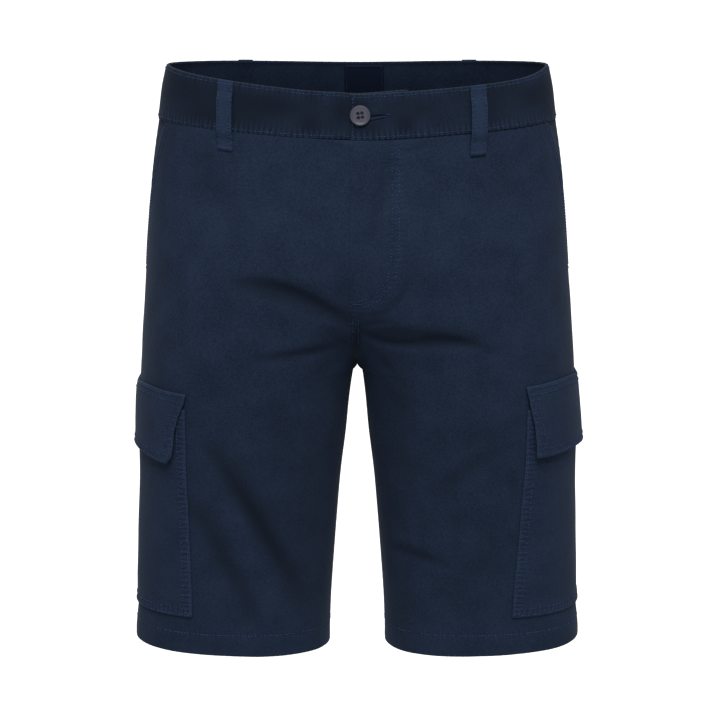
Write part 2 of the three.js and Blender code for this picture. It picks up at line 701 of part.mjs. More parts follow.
// The label: a plain woven patch on the inner face of the back waistband.
function label() {
  const depth = BAND_WALL - BAND_PROUD + REST_GAP;
  const rows = [LABEL.top, (LABEL.top + LABEL.bottom) / 2, LABEL.bottom];
  const grid = (sunk) => rows.map((z) => Array.from({ length: LABEL_COLUMNS + 1 }, (_, k) => {
    const x = mix(LABEL.x1, LABEL.x2, k / LABEL_COLUMNS);
    const turn = -Math.PI / 2 + x / column(SECTIONS, 'back', z);
    const point = bodyPoint(1, turn, z);
    return point.addScaledVector(bodyNormal(1, turn, z), -depth - sunk);
  }));
  return slab(grid(0), grid(LABEL_WALL));
}

addPiece('waistband', waistband(), 'twill');
for (const { word, side } of [{ word: 'left', side: 1 }, { word: 'right', side: -1 }]) {
  addPiece(`front_${word}`, panel(side, 1), 'twill');
  addPiece(`back_${word}`, panel(side, -1), 'twill');
  addPiece(`side_pocket_facing_${word}`, mouthFacing(side), 'twill');
  addPiece(`cargo_pocket_${word}`, cargoPocket(side), 'twill');
  addPiece(`cargo_flap_${word}`, cargoFlap(side), 'twill');
}
for (const loop of LOOPS) {
  addPiece(loop.name, beltLoop(loop), 'twill');
}
addPiece('button', button(), 'button');
addPiece('label', label(), 'label');

export default shorts;
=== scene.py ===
"""Cargo shorts in garment-dyed cotton twill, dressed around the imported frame.

Shapes are worked out in millimetres in the frame of the solids (+Z up, the wearer faces
-Y, the wearer's left is +X) and turned to metres where a mesh is made.
"""
import logging
from dataclasses import dataclass, field
from enum import Enum
from math import pi, radians

import bpy
import numpy as np
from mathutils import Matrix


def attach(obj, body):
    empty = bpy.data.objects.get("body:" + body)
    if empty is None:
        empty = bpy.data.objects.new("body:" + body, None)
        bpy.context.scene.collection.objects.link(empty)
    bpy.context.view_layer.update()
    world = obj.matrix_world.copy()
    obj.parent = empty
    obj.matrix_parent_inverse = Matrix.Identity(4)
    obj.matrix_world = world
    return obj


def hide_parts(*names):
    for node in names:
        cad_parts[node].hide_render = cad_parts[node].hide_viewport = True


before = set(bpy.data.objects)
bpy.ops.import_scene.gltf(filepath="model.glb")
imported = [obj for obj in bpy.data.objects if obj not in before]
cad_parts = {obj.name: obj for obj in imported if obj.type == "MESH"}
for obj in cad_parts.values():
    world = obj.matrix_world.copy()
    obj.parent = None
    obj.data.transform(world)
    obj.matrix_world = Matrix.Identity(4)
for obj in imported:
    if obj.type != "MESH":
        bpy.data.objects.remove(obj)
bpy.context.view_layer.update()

LOG = logging.getLogger("cargo_shorts")
METRES = 0.001
Array = np.ndarray


class Face(Enum):
    """Front or back of the body, as the sign of the turn round a section."""

    FRONT = 1
    BACK = -1


class Side(Enum):
    """The wearer's left or right, as the sign of x."""

    LEFT = 1
    RIGHT = -1


class Rim(Enum):
    """How the edge of a cloth shell is closed: a folded edge is rounded, a seam is flat."""

    FOLDED = 0.42
    SEAM = 0.0


def ramp(value: Array, start: float, stop: float) -> Array:
    """Smooth step from 0 at start to 1 at stop: 3s² - 2s³ of the share s between them.

    Args:
        value: where to read the step.
        start: value at which the step is 0.
        stop: value at which the step is 1.

    Returns:
        The step, from 0 to 1.
    """
    share = np.clip((np.asarray(value, float) - start) / (stop - start), 0, 1)
    return share * share * (3 - 2 * share)


def bell(distance: Array, reach: float) -> Array:
    """Bell curve exp(-(distance / reach)²) of a distance and its reach."""
    return np.exp(-((distance / reach) ** 2))


def unit(vectors: Array) -> Array:
    """Vectors scaled to length 1 along the last axis."""
    return vectors / np.maximum(np.linalg.norm(vectors, axis=-1, keepdims=True), 1e-9)


def smooth_noise(u: Array, v: Array, seed: int) -> Array:
    """Value noise: seeded random heights on a whole-number lattice, joined by smooth steps.

    Args:
        u: first coordinate, in lattice cells.
        v: second coordinate, in lattice cells.
        seed: seed of the lattice.

    Returns:
        Heights from -1 to 1.
    """
    cells = 128
    lattice = np.random.default_rng(seed).uniform(-1, 1, (cells, cells))
    u, v = np.broadcast_arrays(np.asarray(u, float), np.asarray(v, float))
    low_u, low_v = np.floor(u).astype(int), np.floor(v).astype(int)
    part_u, part_v = ramp(u - low_u, 0, 1), ramp(v - low_v, 0, 1)
    rows, next_rows = low_u % cells, (low_u + 1) % cells
    columns, next_columns = low_v % cells, (low_v + 1) % cells
    near = lattice[rows, columns] * (1 - part_v) + lattice[rows, next_columns] * part_v
    far = lattice[next_rows, columns] * (1 - part_v) + lattice[next_rows, next_columns] * part_v
    return near * (1 - part_u) + far * part_u


def pucker(along: Array, wavelength: float, seed: int) -> Array:
    """Uneven comb of small gathers along a seam: a sine whose phase and height wander.

    Args:
        along: distance along the seam, in millimetres.
        wavelength: mean distance from one gather to the next.
        seed: seed of the wandering.

    Returns:
        Heights from about -1 to 1.
    """
    wander = 2.2 * smooth_noise(along / (2.6 * wavelength), 0.5, seed)
    height = 0.65 + 0.35 * smooth_noise(along / (3.1 * wavelength), 7.5, seed + 1)
    return height * np.sin(2 * pi * along / wavelength + wander)


def distance_to_path(x: Array, z: Array, path: Array) -> tuple[Array, Array]:
    """Distance from points to a broken line, and how far along it the nearest place is.

    Args:
        x: x of the points.
        z: z of the points.
        path: corners of the line as rows of (x, z).

    Returns:
        The distance, and the length along the line, both in millimetres.
    """
    nearest = np.full(np.shape(x), np.inf)
    along = np.zeros(np.shape(x))
    walked = 0.0
    for (x1, z1), (x2, z2) in zip(path[:-1], path[1:]):
        length = np.hypot(x2 - x1, z2 - z1)
        share = np.clip(((x - x1) * (x2 - x1) + (z - z1) * (z2 - z1)) / length**2, 0, 1)
        distance = np.hypot(x - x1 - share * (x2 - x1), z - z1 - share * (z2 - z1))
        closer = distance < nearest
        nearest = np.where(closer, distance, nearest)
        along = np.where(closer, walked + share * length, along)
        walked += length
    return nearest, along


@dataclass(frozen=True)
class Section:
    """One section through a side of the garment: a rounded loop from inner to outer in x."""

    z: float
    outer: float
    inner: float
    front: float
    back: float
    power: float


SECTIONS = (
    Section(12, 171.5, -171.5, 87, 87, 2.1),
    Section(0, 174, -174, 88, 90, 2.1),
    Section(-19, 177.8, -177.8, 90, 94, 2.12),
    Section(-42, 181, -181, 94, 101, 2.15),
    Section(-70, 185.1, -185.1, 99, 110, 2.18),
    Section(-110, 190.3, -190.3, 106, 124, 2.22),
    Section(-150, 193.6, -124, 112, 135, 2.26),
    Section(-180, 195.7, -88, 114, 139, 2.28),
    Section(-200, 196.9, -62, 113, 139, 2.3),
    Section(-225, 198.5, -36, 111, 136, 2.3),
    Section(-250, 200.3, -14, 108, 131, 2.3),
    Section(-266, 201.2, -4.6, 105.6, 126, 2.3),
    Section(-275, 201.7, -1.4, 104.2, 123.2, 2.3),
    Section(-277.6, 201.8, -0.2, 103.8, 122.5, 2.3),
    Section(-288, 202.2, 2.9, 102.1, 119.4, 2.3),
    Section(-311, 202.6, 7.1, 98.5, 113, 2.3),
    Section(-345, 202.8, 11, 93.5, 104, 2.3),
    Section(-380, 203, 15.4, 89, 95.5, 2.3),
    Section(-415, 204.2, 18.5, 84.5, 88, 2.3),
    Section(-450, 205, 21.2, 80.5, 81.5, 2.3),
    Section(-498, 206.8, 24.6, 76, 74, 2.3),
    Section(-521, 209, 25.6, 74, 71, 2.3),
    Section(-533, 210, 26, 73, 69.5, 2.3),
    Section(-552, 209.5, 26, 72, 68, 2.3),
)


@dataclass(frozen=True)
class BodyForm:
    """The filled-out form of the garment, before creases: sections stacked from waist to hem."""

    band_height: float = 42
    front_top_drop: float = 20.3
    back_top_drop: float = 6
    top_slope_left: float = 0.6
    top_slope_right: float = 0.87
    top_slope_power: float = 1.27
    top_corner_power: float = 12
    front_seam_drop: float = 17.7
    side_seam_drop: float = 6.8
    seam_drop_power: float = 1.2
    drop_ends: float = -110
    hem_middle: float = -542
    hem_tilt: float = 3
    hem_tilt_starts: float = -480
    rise_top: float = -190
    crotch: float = -277.6
    saddle_softness: float = 12
    saddle_soft_z: float = -230
    slot: float = 2.9
    slot_uneven: float = 0.5
    slot_reach: float = 8
    slot_full: float = -278.1
    slot_ends: float = -345
    fly_edge: float = -5.5
    lap_fades: float = -246
    lap_ends: float = -270
    mouth_reach: float = 34
    mouth_bottom: float = -190

    def column(self, name: str, z: Array) -> Array:
        """Read one column of the sections at heights z along a smooth curve through them.

        Args:
            name: field of Section to read.
            z: heights in millimetres.

        Returns:
            The column's values: cubic pieces whose slopes are those of their neighbours.
        """
        heights = np.array([section.z for section in SECTIONS], float)
        values = np.array([getattr(section, name) for section in SECTIONS], float)
        before = np.maximum(np.arange(len(heights)) - 1, 0)
        after = np.minimum(np.arange(len(heights)) + 1, len(heights) - 1)
        slopes = (values[after] - values[before]) / (heights[after] - heights[before])
        row = np.clip(np.searchsorted(-heights, -z, side="right") - 1, 0, len(heights) - 2)
        span = heights[row + 1] - heights[row]
        s = (z - heights[row]) / span
        top, low = slopes[row] * span, slopes[row + 1] * span
        rise = values[row + 1] - values[row]
        return values[row] + s * (top + s * (3 * rise - 2 * top - low + s * (top + low - 2 * rise)))

    def point(self, side: int, turn: Array, z: Array) -> Array:
        """A point of the form: a rounded loop at z, read at an angle from the side line.

        The loop's reach at an angle is (|cos/across|^p + |sin/deep|^p)^(-1/p). Above the
        crotch the loops of both sides run together in a soft saddle at the middle.

        Args:
            side: 1 for the wearer's left, -1 for the right.
            turn: angle round the section from the side line, positive over the front.
            z: height in millimetres.

        Returns:
            Points with a last axis of x, y, z.
        """
        turn, z = np.broadcast_arrays(np.asarray(turn, float), np.asarray(z, float))
        outer, inner = self.column("outer", z), self.column("inner", z)
        power = self.column("power", z)
        across, middle = (outer - inner) / 2, (outer + inner) / 2
        deep = np.where(turn > 0, self.column("front", z), self.column("back", z))
        c, s = np.cos(turn), np.sin(turn)
        reach = (np.abs(c / across) ** power + np.abs(s / deep) ** power) ** (-1 / power)
        x, y = middle + reach * c, -reach * s
        soft = self.saddle_softness * ramp(z, self.crotch, self.saddle_soft_z)
        off = np.minimum(1, np.abs(middle - np.hypot(x, soft)) / across)
        saddle = -np.sign(s) * deep * (1 - off**power) ** (1 / power)
        y = np.where((soft > 0) & (x < middle), saddle, y)
        slot = (self.slot + self.slot_uneven * side) * ramp(z, self.crotch, self.slot_full)
        slot = slot * ramp(z, self.slot_ends, self.slot_full)
        x = x + slot * np.exp(-np.maximum(0, x) / self.slot_reach)
        return np.stack([side * x, y, z], axis=-1)

    def normal(self, side: int, turn: Array, z: Array) -> Array:
        """Outward unit normals, from the cross product of small steps round and down."""
        turn, z = np.broadcast_arrays(np.asarray(turn, float), np.asarray(z, float))
        round_step = self.point(side, turn + 0.005, z) - self.point(side, turn - 0.005, z)
        down_step = self.point(side, turn, z - 0.5) - self.point(side, turn, z + 0.5)
        return unit(np.cross(round_step, down_step) * side)

    def turn_at_x(self, face: int, z: Array, x: Array, limit: float = pi / 2) -> Array:
        """The turn at which a section reaches x, found by halving the interval.

        Args:
            face: 1 for the front, -1 for the back.
            z: heights.
            x: distances from the middle, on the side's own scale.
            limit: largest turn searched.

        Returns:
            Turns with the sign of face.
        """
        z, x = np.broadcast_arrays(np.asarray(z, float), np.asarray(x, float))
        low, high = np.zeros(z.shape), np.full(z.shape, limit)
        for _ in range(30):
            half = (low + high) / 2
            beyond = self.point(1, face * half, z)[..., 0] > x
            low, high = np.where(beyond, half, low), np.where(beyond, high, half)
        return face * low

    def waist_off(self, turn: Array) -> Array:
        """How far out a turn lies at the waistband's middle: 0 at the centre, 1 at the side."""
        level = np.full(np.shape(turn), -self.band_height / 2)
        across = np.abs(self.point(1, turn, level)[..., 0])
        return np.minimum(1, across / self.column("outer", level))

    def top_drop(self, sides: Array, turn: Array) -> Array:
        """How far the waistband's top edge dips, quickly at the side, then evenly to the front.

        In front it is the full drop times 1 less a mean of two powers of the way out.

        Args:
            sides: sign of x of each point.
            turn: turns of the points.

        Returns:
            The drop in millimetres.
        """
        off = self.waist_off(turn)
        slope = np.where(np.asarray(sides) > 0, self.top_slope_left, self.top_slope_right)
        rise = slope * off**self.top_slope_power + (1 - slope) * off**self.top_corner_power
        back = self.back_top_drop * np.abs(np.sin(turn))
        return np.where(np.asarray(turn) > 0, self.front_top_drop * (1 - rise), back)

    def seam_drop(self, turn: Array) -> Array:
        """How far the waist seam dips below the band's even height, most at the front middle."""
        inward = np.where(np.asarray(turn) > 0, 1 - self.waist_off(turn) ** self.seam_drop_power, 0)
        return self.side_seam_drop + (self.front_seam_drop - self.side_seam_drop) * inward

    def row_height(self, turn: Array, row: Array) -> Array:
        """Height of a cloth row at a turn: it follows the waist seam above and the hem below."""
        waist = ramp(row, self.drop_ends, -self.band_height)
        hem = ramp(row, self.hem_tilt_starts, self.hem_middle)
        return row - waist * self.seam_drop(turn) + hem * self.hem_tilt * np.cos(turn)

    def front_seam_x(self, z: Array) -> Array:
        """The x of the front centre seam: the fly edge above, the middle at the crotch."""
        return self.fly_edge * ramp(z, self.lap_ends, self.lap_fades)

    def mouth_at(self, z: Array) -> Array:
        """Arc from the side line to the side pocket's slanting mouth."""
        share = (z - self.mouth_bottom) / (-self.band_height - self.mouth_bottom)
        return self.mouth_reach * np.maximum(0, share)

    def centre_turn(self, side: int, face: int, row: Array, gap: Array) -> Array:
        """The turn at which each row meets its centre seam or inseam, by halving.

        Args:
            side: sign of x.
            face: sign of the turn.
            row: nominal heights of the rows.
            gap: distance kept from the seam line, negative where the piece laps over it.

        Returns:
            Positive turns, one a row.
        """
        low, high = np.full(row.shape, pi / 4), np.full(row.shape, pi)
        for _ in range(30):
            half = (low + high) / 2
            point = self.point(side, face * half, self.row_height(face * half, row))
            seam = self.front_seam_x(point[..., 2]) if face > 0 else 0
            inside = (side * (point[..., 0] - seam) > gap) & (np.abs(point[..., 1]) > gap)
            low, high = np.where(inside, half, low), np.where(inside, high, half)
        return low

    def row_arcs(self, side: int, face: int, row: Array) -> tuple[Array, Array]:
        """Sampled turns from the side line to the inner pole, and arc lengths at each, a row.

        Args:
            side: sign of x.
            face: sign of the turn.
            row: nominal heights of the rows.

        Returns:
            The sampled turns, and for each row the arc length at every one of them.
        """
        turns = np.linspace(0, pi, 241)
        grid = face * turns[None, :]
        points = self.point(side, grid, self.row_height(grid, row[:, None]))
        steps = np.linalg.norm(np.diff(points, axis=1), axis=-1)
        return turns, np.concatenate([np.zeros((len(row), 1)), np.cumsum(steps, axis=1)], axis=1)


@dataclass(frozen=True)
class Crease:
    """A soft trough along a curve on the front (1) or the back (-1), drawn by three points.

    The curve runs from the first (x, z) to the last, and the middle one pulls it aside.
    """

    face: int
    x1: float
    z1: float
    x2: float
    z2: float
    x3: float
    z3: float
    width: float
    depth: float


MAIN_CREASES = (
    Crease(1, -113, -188, -54.3, -189, -6.5, -225.5, 10, 2.6),
    Crease(1, -88.7, -256.2, -46.8, -251.9, -6.5, -244.1, 5, 2.4),
    Crease(1, 4.3, -232.7, 47.2, -235.5, 109.6, -237.7, 8, 2.8),
    Crease(1, 3.4, -234.8, 25, -248.1, 66.8, -239.6, 4.2, 2.8),
    Crease(1, 60.6, -239.7, 87.2, -235.7, 115.1, -245.3, 4.4, 2.4),
    Crease(1, -130, -332, -94, -397, -50, -492, 14, 1.6),
    Crease(1, -135, -340, -96, -399, -48, -491, 7, 2.2),
    Crease(1, -153, -395, -129, -428, -92, -513, 9, 2.2),
    Crease(1, 30.5, -444.7, 50.6, -445.4, 81.7, -454.4, 5, 2),
    Crease(1, 92, -336, 122, -330, 152, -314, 12, 1.0),
    Crease(-1, -112, -252, -58, -266, -4, -262, 11, 3.6),
    Crease(-1, 4, -264, 62, -262, 104, -246, 11, 3.2),
    Crease(-1, -94, -196, -46, -222, -4, -236, 12, 2.4),
    Crease(-1, 4, -230, 52, -222, 88, -190, 12, 2.6),
    Crease(-1, -124, -342, -96, -400, -66, -486, 15, 2.6),
    Crease(-1, 132, -350, 104, -402, 62, -476, 15, 2.4),
)

# Smaller folds between the main ones; a negative depth is a ridge.
SMALL_CREASES = (
    Crease(1, -107.7, -185.2, -59.5, -179.9, -7.4, -223.4, 5, 2.2),
    Crease(1, 2.6, -212.7, 2.6, -230, 2.6, -254, 2.4, 0.6),
    Crease(1, -5.4, -212.7, -5.4, -230, -5.4, -254, 2.4, 0.6),
    Crease(1, 2.9, -227.2, 13.2, -224.1, 28.4, -220.6, 2.6, 1.6),
    Crease(1, 6.1, -219, 34.6, -217, 43.3, -185.3, 3.4, 1.4),
    Crease(1, 41.6, -196.3, 46.8, -178.1, 50.3, -162.1, 6, 0.7),
    Crease(1, -15.2, -165.8, -17, -185.7, -10, -204.7, 6, 0.9),
    Crease(1, -31.4, -220.9, -19, -225.6, -6.5, -234.6, 3.2, -0.8),
    Crease(1, -24.4, -237, -15.5, -241, -6.5, -246.2, 2.8, 0.8),
    Crease(1, -123, -381, -104, -433, -75, -500, 9, -1.2),
    Crease(1, -68, -286, -65, -333, -87, -370, 14, 0.8),
    Crease(1, 35.9, -434.4, 57.8, -432.3, 79.7, -440.8, 6, -0.9),
    Crease(1, 137, -341, 109, -347, 72, -388, 9, 1.5),
    Crease(1, 139.9, -364.8, 142.8, -374.6, 141.2, -388, 5, 1),
    Crease(1, 129, -424, 107, -459, 88, -493, 13, 1.1),
    Crease(1, 19, -282, 42, -297, 35, -333, 14, 1.1),
    Crease(1, 104.5, -255.3, 118.7, -246.3, 133.2, -248.8, 6, 1.2),
    Crease(1, 13.3, -252.8, 31.4, -270.4, 42.3, -288.9, 5, 0.8),
    Crease(1, -144, -71, -137, -106, -95, -140, 12, 0.9),
    Crease(1, 146, -72, 132, -114, 100, -140, 12, 0.8),
    Crease(1, 29.9, -66.2, 18.4, -111.3, 9.6, -156.9, 5.5, 1.1),
    Crease(1, -31.1, -60.5, -18.7, -64.4, -6.3, -70.4, 3, 0.9),
    Crease(1, -27.6, -69.6, -16.9, -73.9, -6.3, -76.5, 3, 0.6),
    Crease(1, 39.6, -70.6, 53.8, -67.3, 69.8, -61.5, 3, 0.8),
    Crease(-1, -70, -232, -36, -244, -6, -248, 6, 1.2),
    Crease(-1, 6, -244, 40, -242, 76, -226, 6, 1.3),
    Crease(-1, -140, -420, -112, -470, -92, -520, 9, 0.8),
    Crease(-1, 70, -330, 96, -400, 108, -470, 12, 0.9),
    Crease(-1, 150, -104, 124, -150, 96, -196, 14, 0.9),
    Crease(-1, -146, -100, -120, -146, -90, -190, 14, 0.9),
)

# The fly's topstitching: straight down from the waist seam, then round to the bartack.
FLY_STITCH = (
    (37.3, -61),
    (37.5, -111.4),
    (37.2, -155),
    (36.7, -165.7),
    (35.3, -176.3),
    (32.2, -185.4),
    (26.5, -194.3),
    (19.4, -201.1),
    (11.4, -206.1),
    (3.4, -209.3),
)
FLY_STITCH_GAP = 6.5


@dataclass(frozen=True)
class Drape:
    """How the cloth lies on the form: creases, the fly's step, seams and their gathers."""

    form: BodyForm = BodyForm()
    fly_out: float = 0.35
    fly_in: float = 0.15
    fly_reach: float = 34
    fly_bottom: float = -196
    fly_fades: float = -228
    seam_reach: float = 22
    inseam_fade: float = 0.3
    hem_depth: float = 19.5
    crease_end: float = 0.35
    # Painted shade: a dark strip in the crotch where the cloth turns under.
    shade_top: float = -222
    shade_low: float = -246
    shade_reach: float = 3.9
    shade_aside: float = 1.4
    # Painted light beside the crotch and along the inner legs (thigh and inseam values); leg_shade
    # paints shade down the legs.
    thigh_painted_light: float = 0.55
    leg_shade: float = 0.14
    inseam_painted_light: float = 0.75
    inseam_reach: float = 7

    def crease_depth(self, point: Array) -> Array:
        """How far creases sink the cloth: a bell across each trough, fading to its ends."""
        depth = np.zeros(point.shape[:-1])
        steps = np.linspace(0, 1, 17)
        for crease in MAIN_CREASES + SMALL_CREASES:
            facing = ramp(-point[..., 1] * crease.face, 8, 45)
            first = np.stack([crease.x1 + (crease.x2 - crease.x1) * steps,
                              crease.z1 + (crease.z2 - crease.z1) * steps], axis=-1)
            second = np.stack([crease.x2 + (crease.x3 - crease.x2) * steps,
                               crease.z2 + (crease.z3 - crease.z2) * steps], axis=-1)
            path = first + (second - first) * steps[:, None]
            distance, along = distance_to_path(point[..., 0], point[..., 2], path)
            whole = np.linalg.norm(np.diff(path, axis=0), axis=1).sum()
            ends = self.crease_end + (1 - self.crease_end) * np.sin(pi * along / whole)
            depth += facing * ends * crease.depth * bell(distance, crease.width)
        return depth

    def fly_lift(self, side: int, point: Array) -> Array:
        """The fly edge stands proud on the left front, and the right front lies under it."""
        height = ramp(point[..., 2], self.fly_fades, self.fly_bottom)
        height = height * ramp(-point[..., 1], 20, 60)
        away = np.abs(point[..., 0] - self.form.fly_edge)
        near = 1 - ramp(away, 0, self.fly_reach)
        return height * near * (self.fly_out if side > 0 else -self.fly_in)

    def seams(self, side: int, turn: Array, point: Array) -> tuple[Array, dict[str, Array]]:
        """Dips at the seams with the gathers beside them, and the marks that they leave.

        Each seam is a bell of the distance from it, times an uneven comb along it.

        Args:
            side: sign of x.
            turn: turns of the points.
            point: points of the form.

        Returns:
            The lift in millimetres, and from 0 to 1 the "wear" on ridges and the strength of
            gathers beside seams that run across the cloth and down it.
        """
        x, y, z = point[..., 0], point[..., 1], point[..., 2]
        around = side * turn * 130
        front, back = ramp(-y, 10, 40), ramp(y, 10, 40)
        outer_half = ramp(np.abs(x), 90, 120)
        leg = ramp(z, self.form.crotch, self.form.crotch - 6)
        hem_edge = self.form.hem_middle + self.form.hem_tilt * np.cos(turn)
        from_hem = z - hem_edge
        along_hem = around + 0.5 * z
        below_band = -self.form.band_height - self.form.seam_drop(turn) - z
        centre_x = np.abs(x - self.form.front_seam_x(z))
        fly_distance, fly_along = distance_to_path(x, z, np.array(FLY_STITCH))
        lap = ramp(z, self.fly_bottom, self.fly_bottom - 8)
        across, down = "gather_across", "gather_down"
        rows = (
            (below_band, around, 0.3, 5.0, 0.4, 6.4, 0.0, 11, across),
            (np.abs(from_hem - self.hem_depth), along_hem, 0.4, 4.0, 0.6, 7.5, 0.9, 12, across),
            (from_hem, along_hem, 0.2, 4.0, 0.8, 7.5, 0.0, 12, across),
            (np.abs(y), z, outer_half, 4.0, 0.2, 8.0, 0.4, 13, down),
            (np.abs(y), z, (1 - outer_half) * leg, 4.0, 0.2, 8.0, 0.4, 14, down),
            (centre_x, z, back * 0.5, 4.5, 0.4, 6.5, 0.8, 15, down),
            (centre_x, z, front * lap * 0.4, 3.6, 0.4, 6.0, 0.8, 16, down),
            (fly_distance, fly_along, front * (side > 0) * 0.5, 5.0, 0.3, 5.6, 0.3, 17, down),
        )
        lift = np.zeros(z.shape)
        marks = {key: np.zeros(z.shape) for key in ("wear", across, down)}
        for distance, along, where, reach, height, wavelength, dip, seed, run in rows:
            comb = pucker(along, wavelength, seed)
            lift += where * bell(distance, reach) * height * comb
            lift -= where * bell(distance, 1.3) * dip
            marks["wear"] += where * bell(distance, 0.5 * reach) * (0.45 + 0.55 * comb)
            marks[run] += where * bell(distance, reach)
        return lift, {key: np.clip(values, 0, 1) for key, values in marks.items()}

    def wrinkles(self, side: int, turn: Array, point: Array) -> Array:
        """Slight unevenness of worn cloth: two sizes of smooth noise, longer down the leg."""
        around = side * turn * 110 + 400
        z = point[..., 2]
        large = smooth_noise(around / 46, z / 80, 21)
        small = smooth_noise(around / 17, z / 27, 22)
        centre = np.where(point[..., 1] < 0, self.form.front_seam_x(z), 0)
        fade = ramp(np.abs(point[..., 0] - centre), 0, self.seam_reach)
        fade = fade * ramp(pi - np.abs(turn), 0, self.inseam_fade)
        return fade * (0.75 * large + 0.2 * small)

    def place(self, side: int, turn: Array, z: Array, lift: Array = 0.0) -> Array:
        """Points at a lift above the dressed cloth.

        Args:
            side: sign of x.
            turn: turns of the points.
            z: heights of the points.
            lift: distance outward from the cloth's outside.

        Returns:
            Points with a last axis of x, y, z.
        """
        point = self.form.point(side, turn, z)
        normal = self.form.normal(side, turn, z)
        seam_lift, _ = self.seams(side, turn, point)
        rise = self.fly_lift(side, point) - self.crease_depth(point) + seam_lift
        rise = rise + self.wrinkles(side, turn, point)
        shaping = normal * rise[..., None]
        centre = np.where(point[..., 1] < 0, self.form.front_seam_x(point[..., 2]), 0)
        shaping[..., 0] *= ramp(np.abs(point[..., 0] - centre), 0, self.seam_reach)
        return point + shaping + normal * np.asarray(lift, float)[..., None]

    def marks(self, side: int, turn: Array, z: Array) -> dict[str, Array]:
        """Marks for the cloth's colour and fine relief: wear, gathers, painted shade in creases, in
        the crotch and down the legs, and painted light on the inner legs.

        Args:
            side: sign of x.
            turn: turns of the points.
            z: heights of the points.

        Returns:
            The attributes "wear" (with the painted light added), "gather_across", "gather_down" and
            "painted_shade".
        """
        point = self.form.point(side, turn, z)
        _, marks = self.seams(side, turn, point)
        # Painted shade in the crotch, where the cloth faces down under the legs.
        under = ramp(point[..., 2], self.shade_top, self.shade_low) * (point[..., 1] < 10)
        aside = np.abs(point[..., 0] + self.shade_aside)
        under = under * (1 - ramp(aside, self.shade_reach - 0.8, self.shade_reach + 0.8))
        # Painted shade, darker down the legs towards the hem.
        low = self.leg_shade * ramp(z, -290, -380)
        # Painted shade in creases by their depth, with the crotch and leg shade added.
        marks["painted_shade"] = np.clip(self.crease_depth(point) / 4 + under + low, -1, 1)
        # Painted light along the inner legs and on the thighs beside the crotch, added to wear.
        inside = np.abs(point[..., 0]) - self.form.column("inner", z)
        inside = bell(inside, self.inseam_reach) * ramp(z, self.form.crotch, self.form.crotch - 8)
        beside = bell(np.abs(point[..., 0]) - 15, 9) * bell(z + 266, 16) * (point[..., 1] < 0)
        lit_and_worn = self.inseam_painted_light * inside + self.thigh_painted_light * beside
        marks["wear"] = np.clip(marks["wear"] + lit_and_worn, 0, 1)
        return marks


def srgb(code: str) -> tuple[float, float, float, float]:
    """Linear colour of an sRGB hex code."""
    values = [int(code[k:k + 2], 16) / 255 for k in (1, 3, 5)]
    linear = [v / 12.92 if v <= 0.04045 else ((v + 0.055) / 1.055) ** 2.4 for v in values]
    return (*linear, 1.0)


def add_node(tree: bpy.types.NodeTree, kind: str, settings: dict, links: dict) -> bpy.types.Node:
    """Add a node with its settings and links.

    Args:
        tree: node tree of a material.
        kind: Blender's name of the node type.
        settings: attributes by name, or socket values by name or number.
        links: sources by the input's name or number, each a node or (node, output).

    Returns:
        The node.
    """
    node = tree.nodes.new(kind)
    for key, value in settings.items():
        if isinstance(key, int) or key in node.inputs:
            node.inputs[key].default_value = value
        else:
            setattr(node, key, value)
    for key, source in links.items():
        origin, output = source if isinstance(source, tuple) else (source, 0)
        tree.links.new(origin.outputs[output], node.inputs[key])
    return node


def noise_node(tree: bpy.types.NodeTree, coordinates: bpy.types.Node, size_mm: float,
               detail: float, space: str = "Object") -> bpy.types.Node:
    """Add a noise texture of a real size.

    Args:
        tree: node tree of a material.
        coordinates: its texture coordinates.
        size_mm: size of the noise's cells.
        detail: number of finer layers on it.
        space: which of the coordinates it lies on.

    Returns:
        The node.
    """
    return add_node(tree, "ShaderNodeTexNoise", {"Scale": 1 / (size_mm * METRES), "Detail": detail},
                    {"Vector": (coordinates, space)})


def new_material(name: str) -> tuple[bpy.types.Material, bpy.types.NodeTree]:
    """An empty node material and its tree."""
    material = bpy.data.materials.new(name)
    material.use_nodes = True
    material.node_tree.nodes.clear()
    return material, material.node_tree


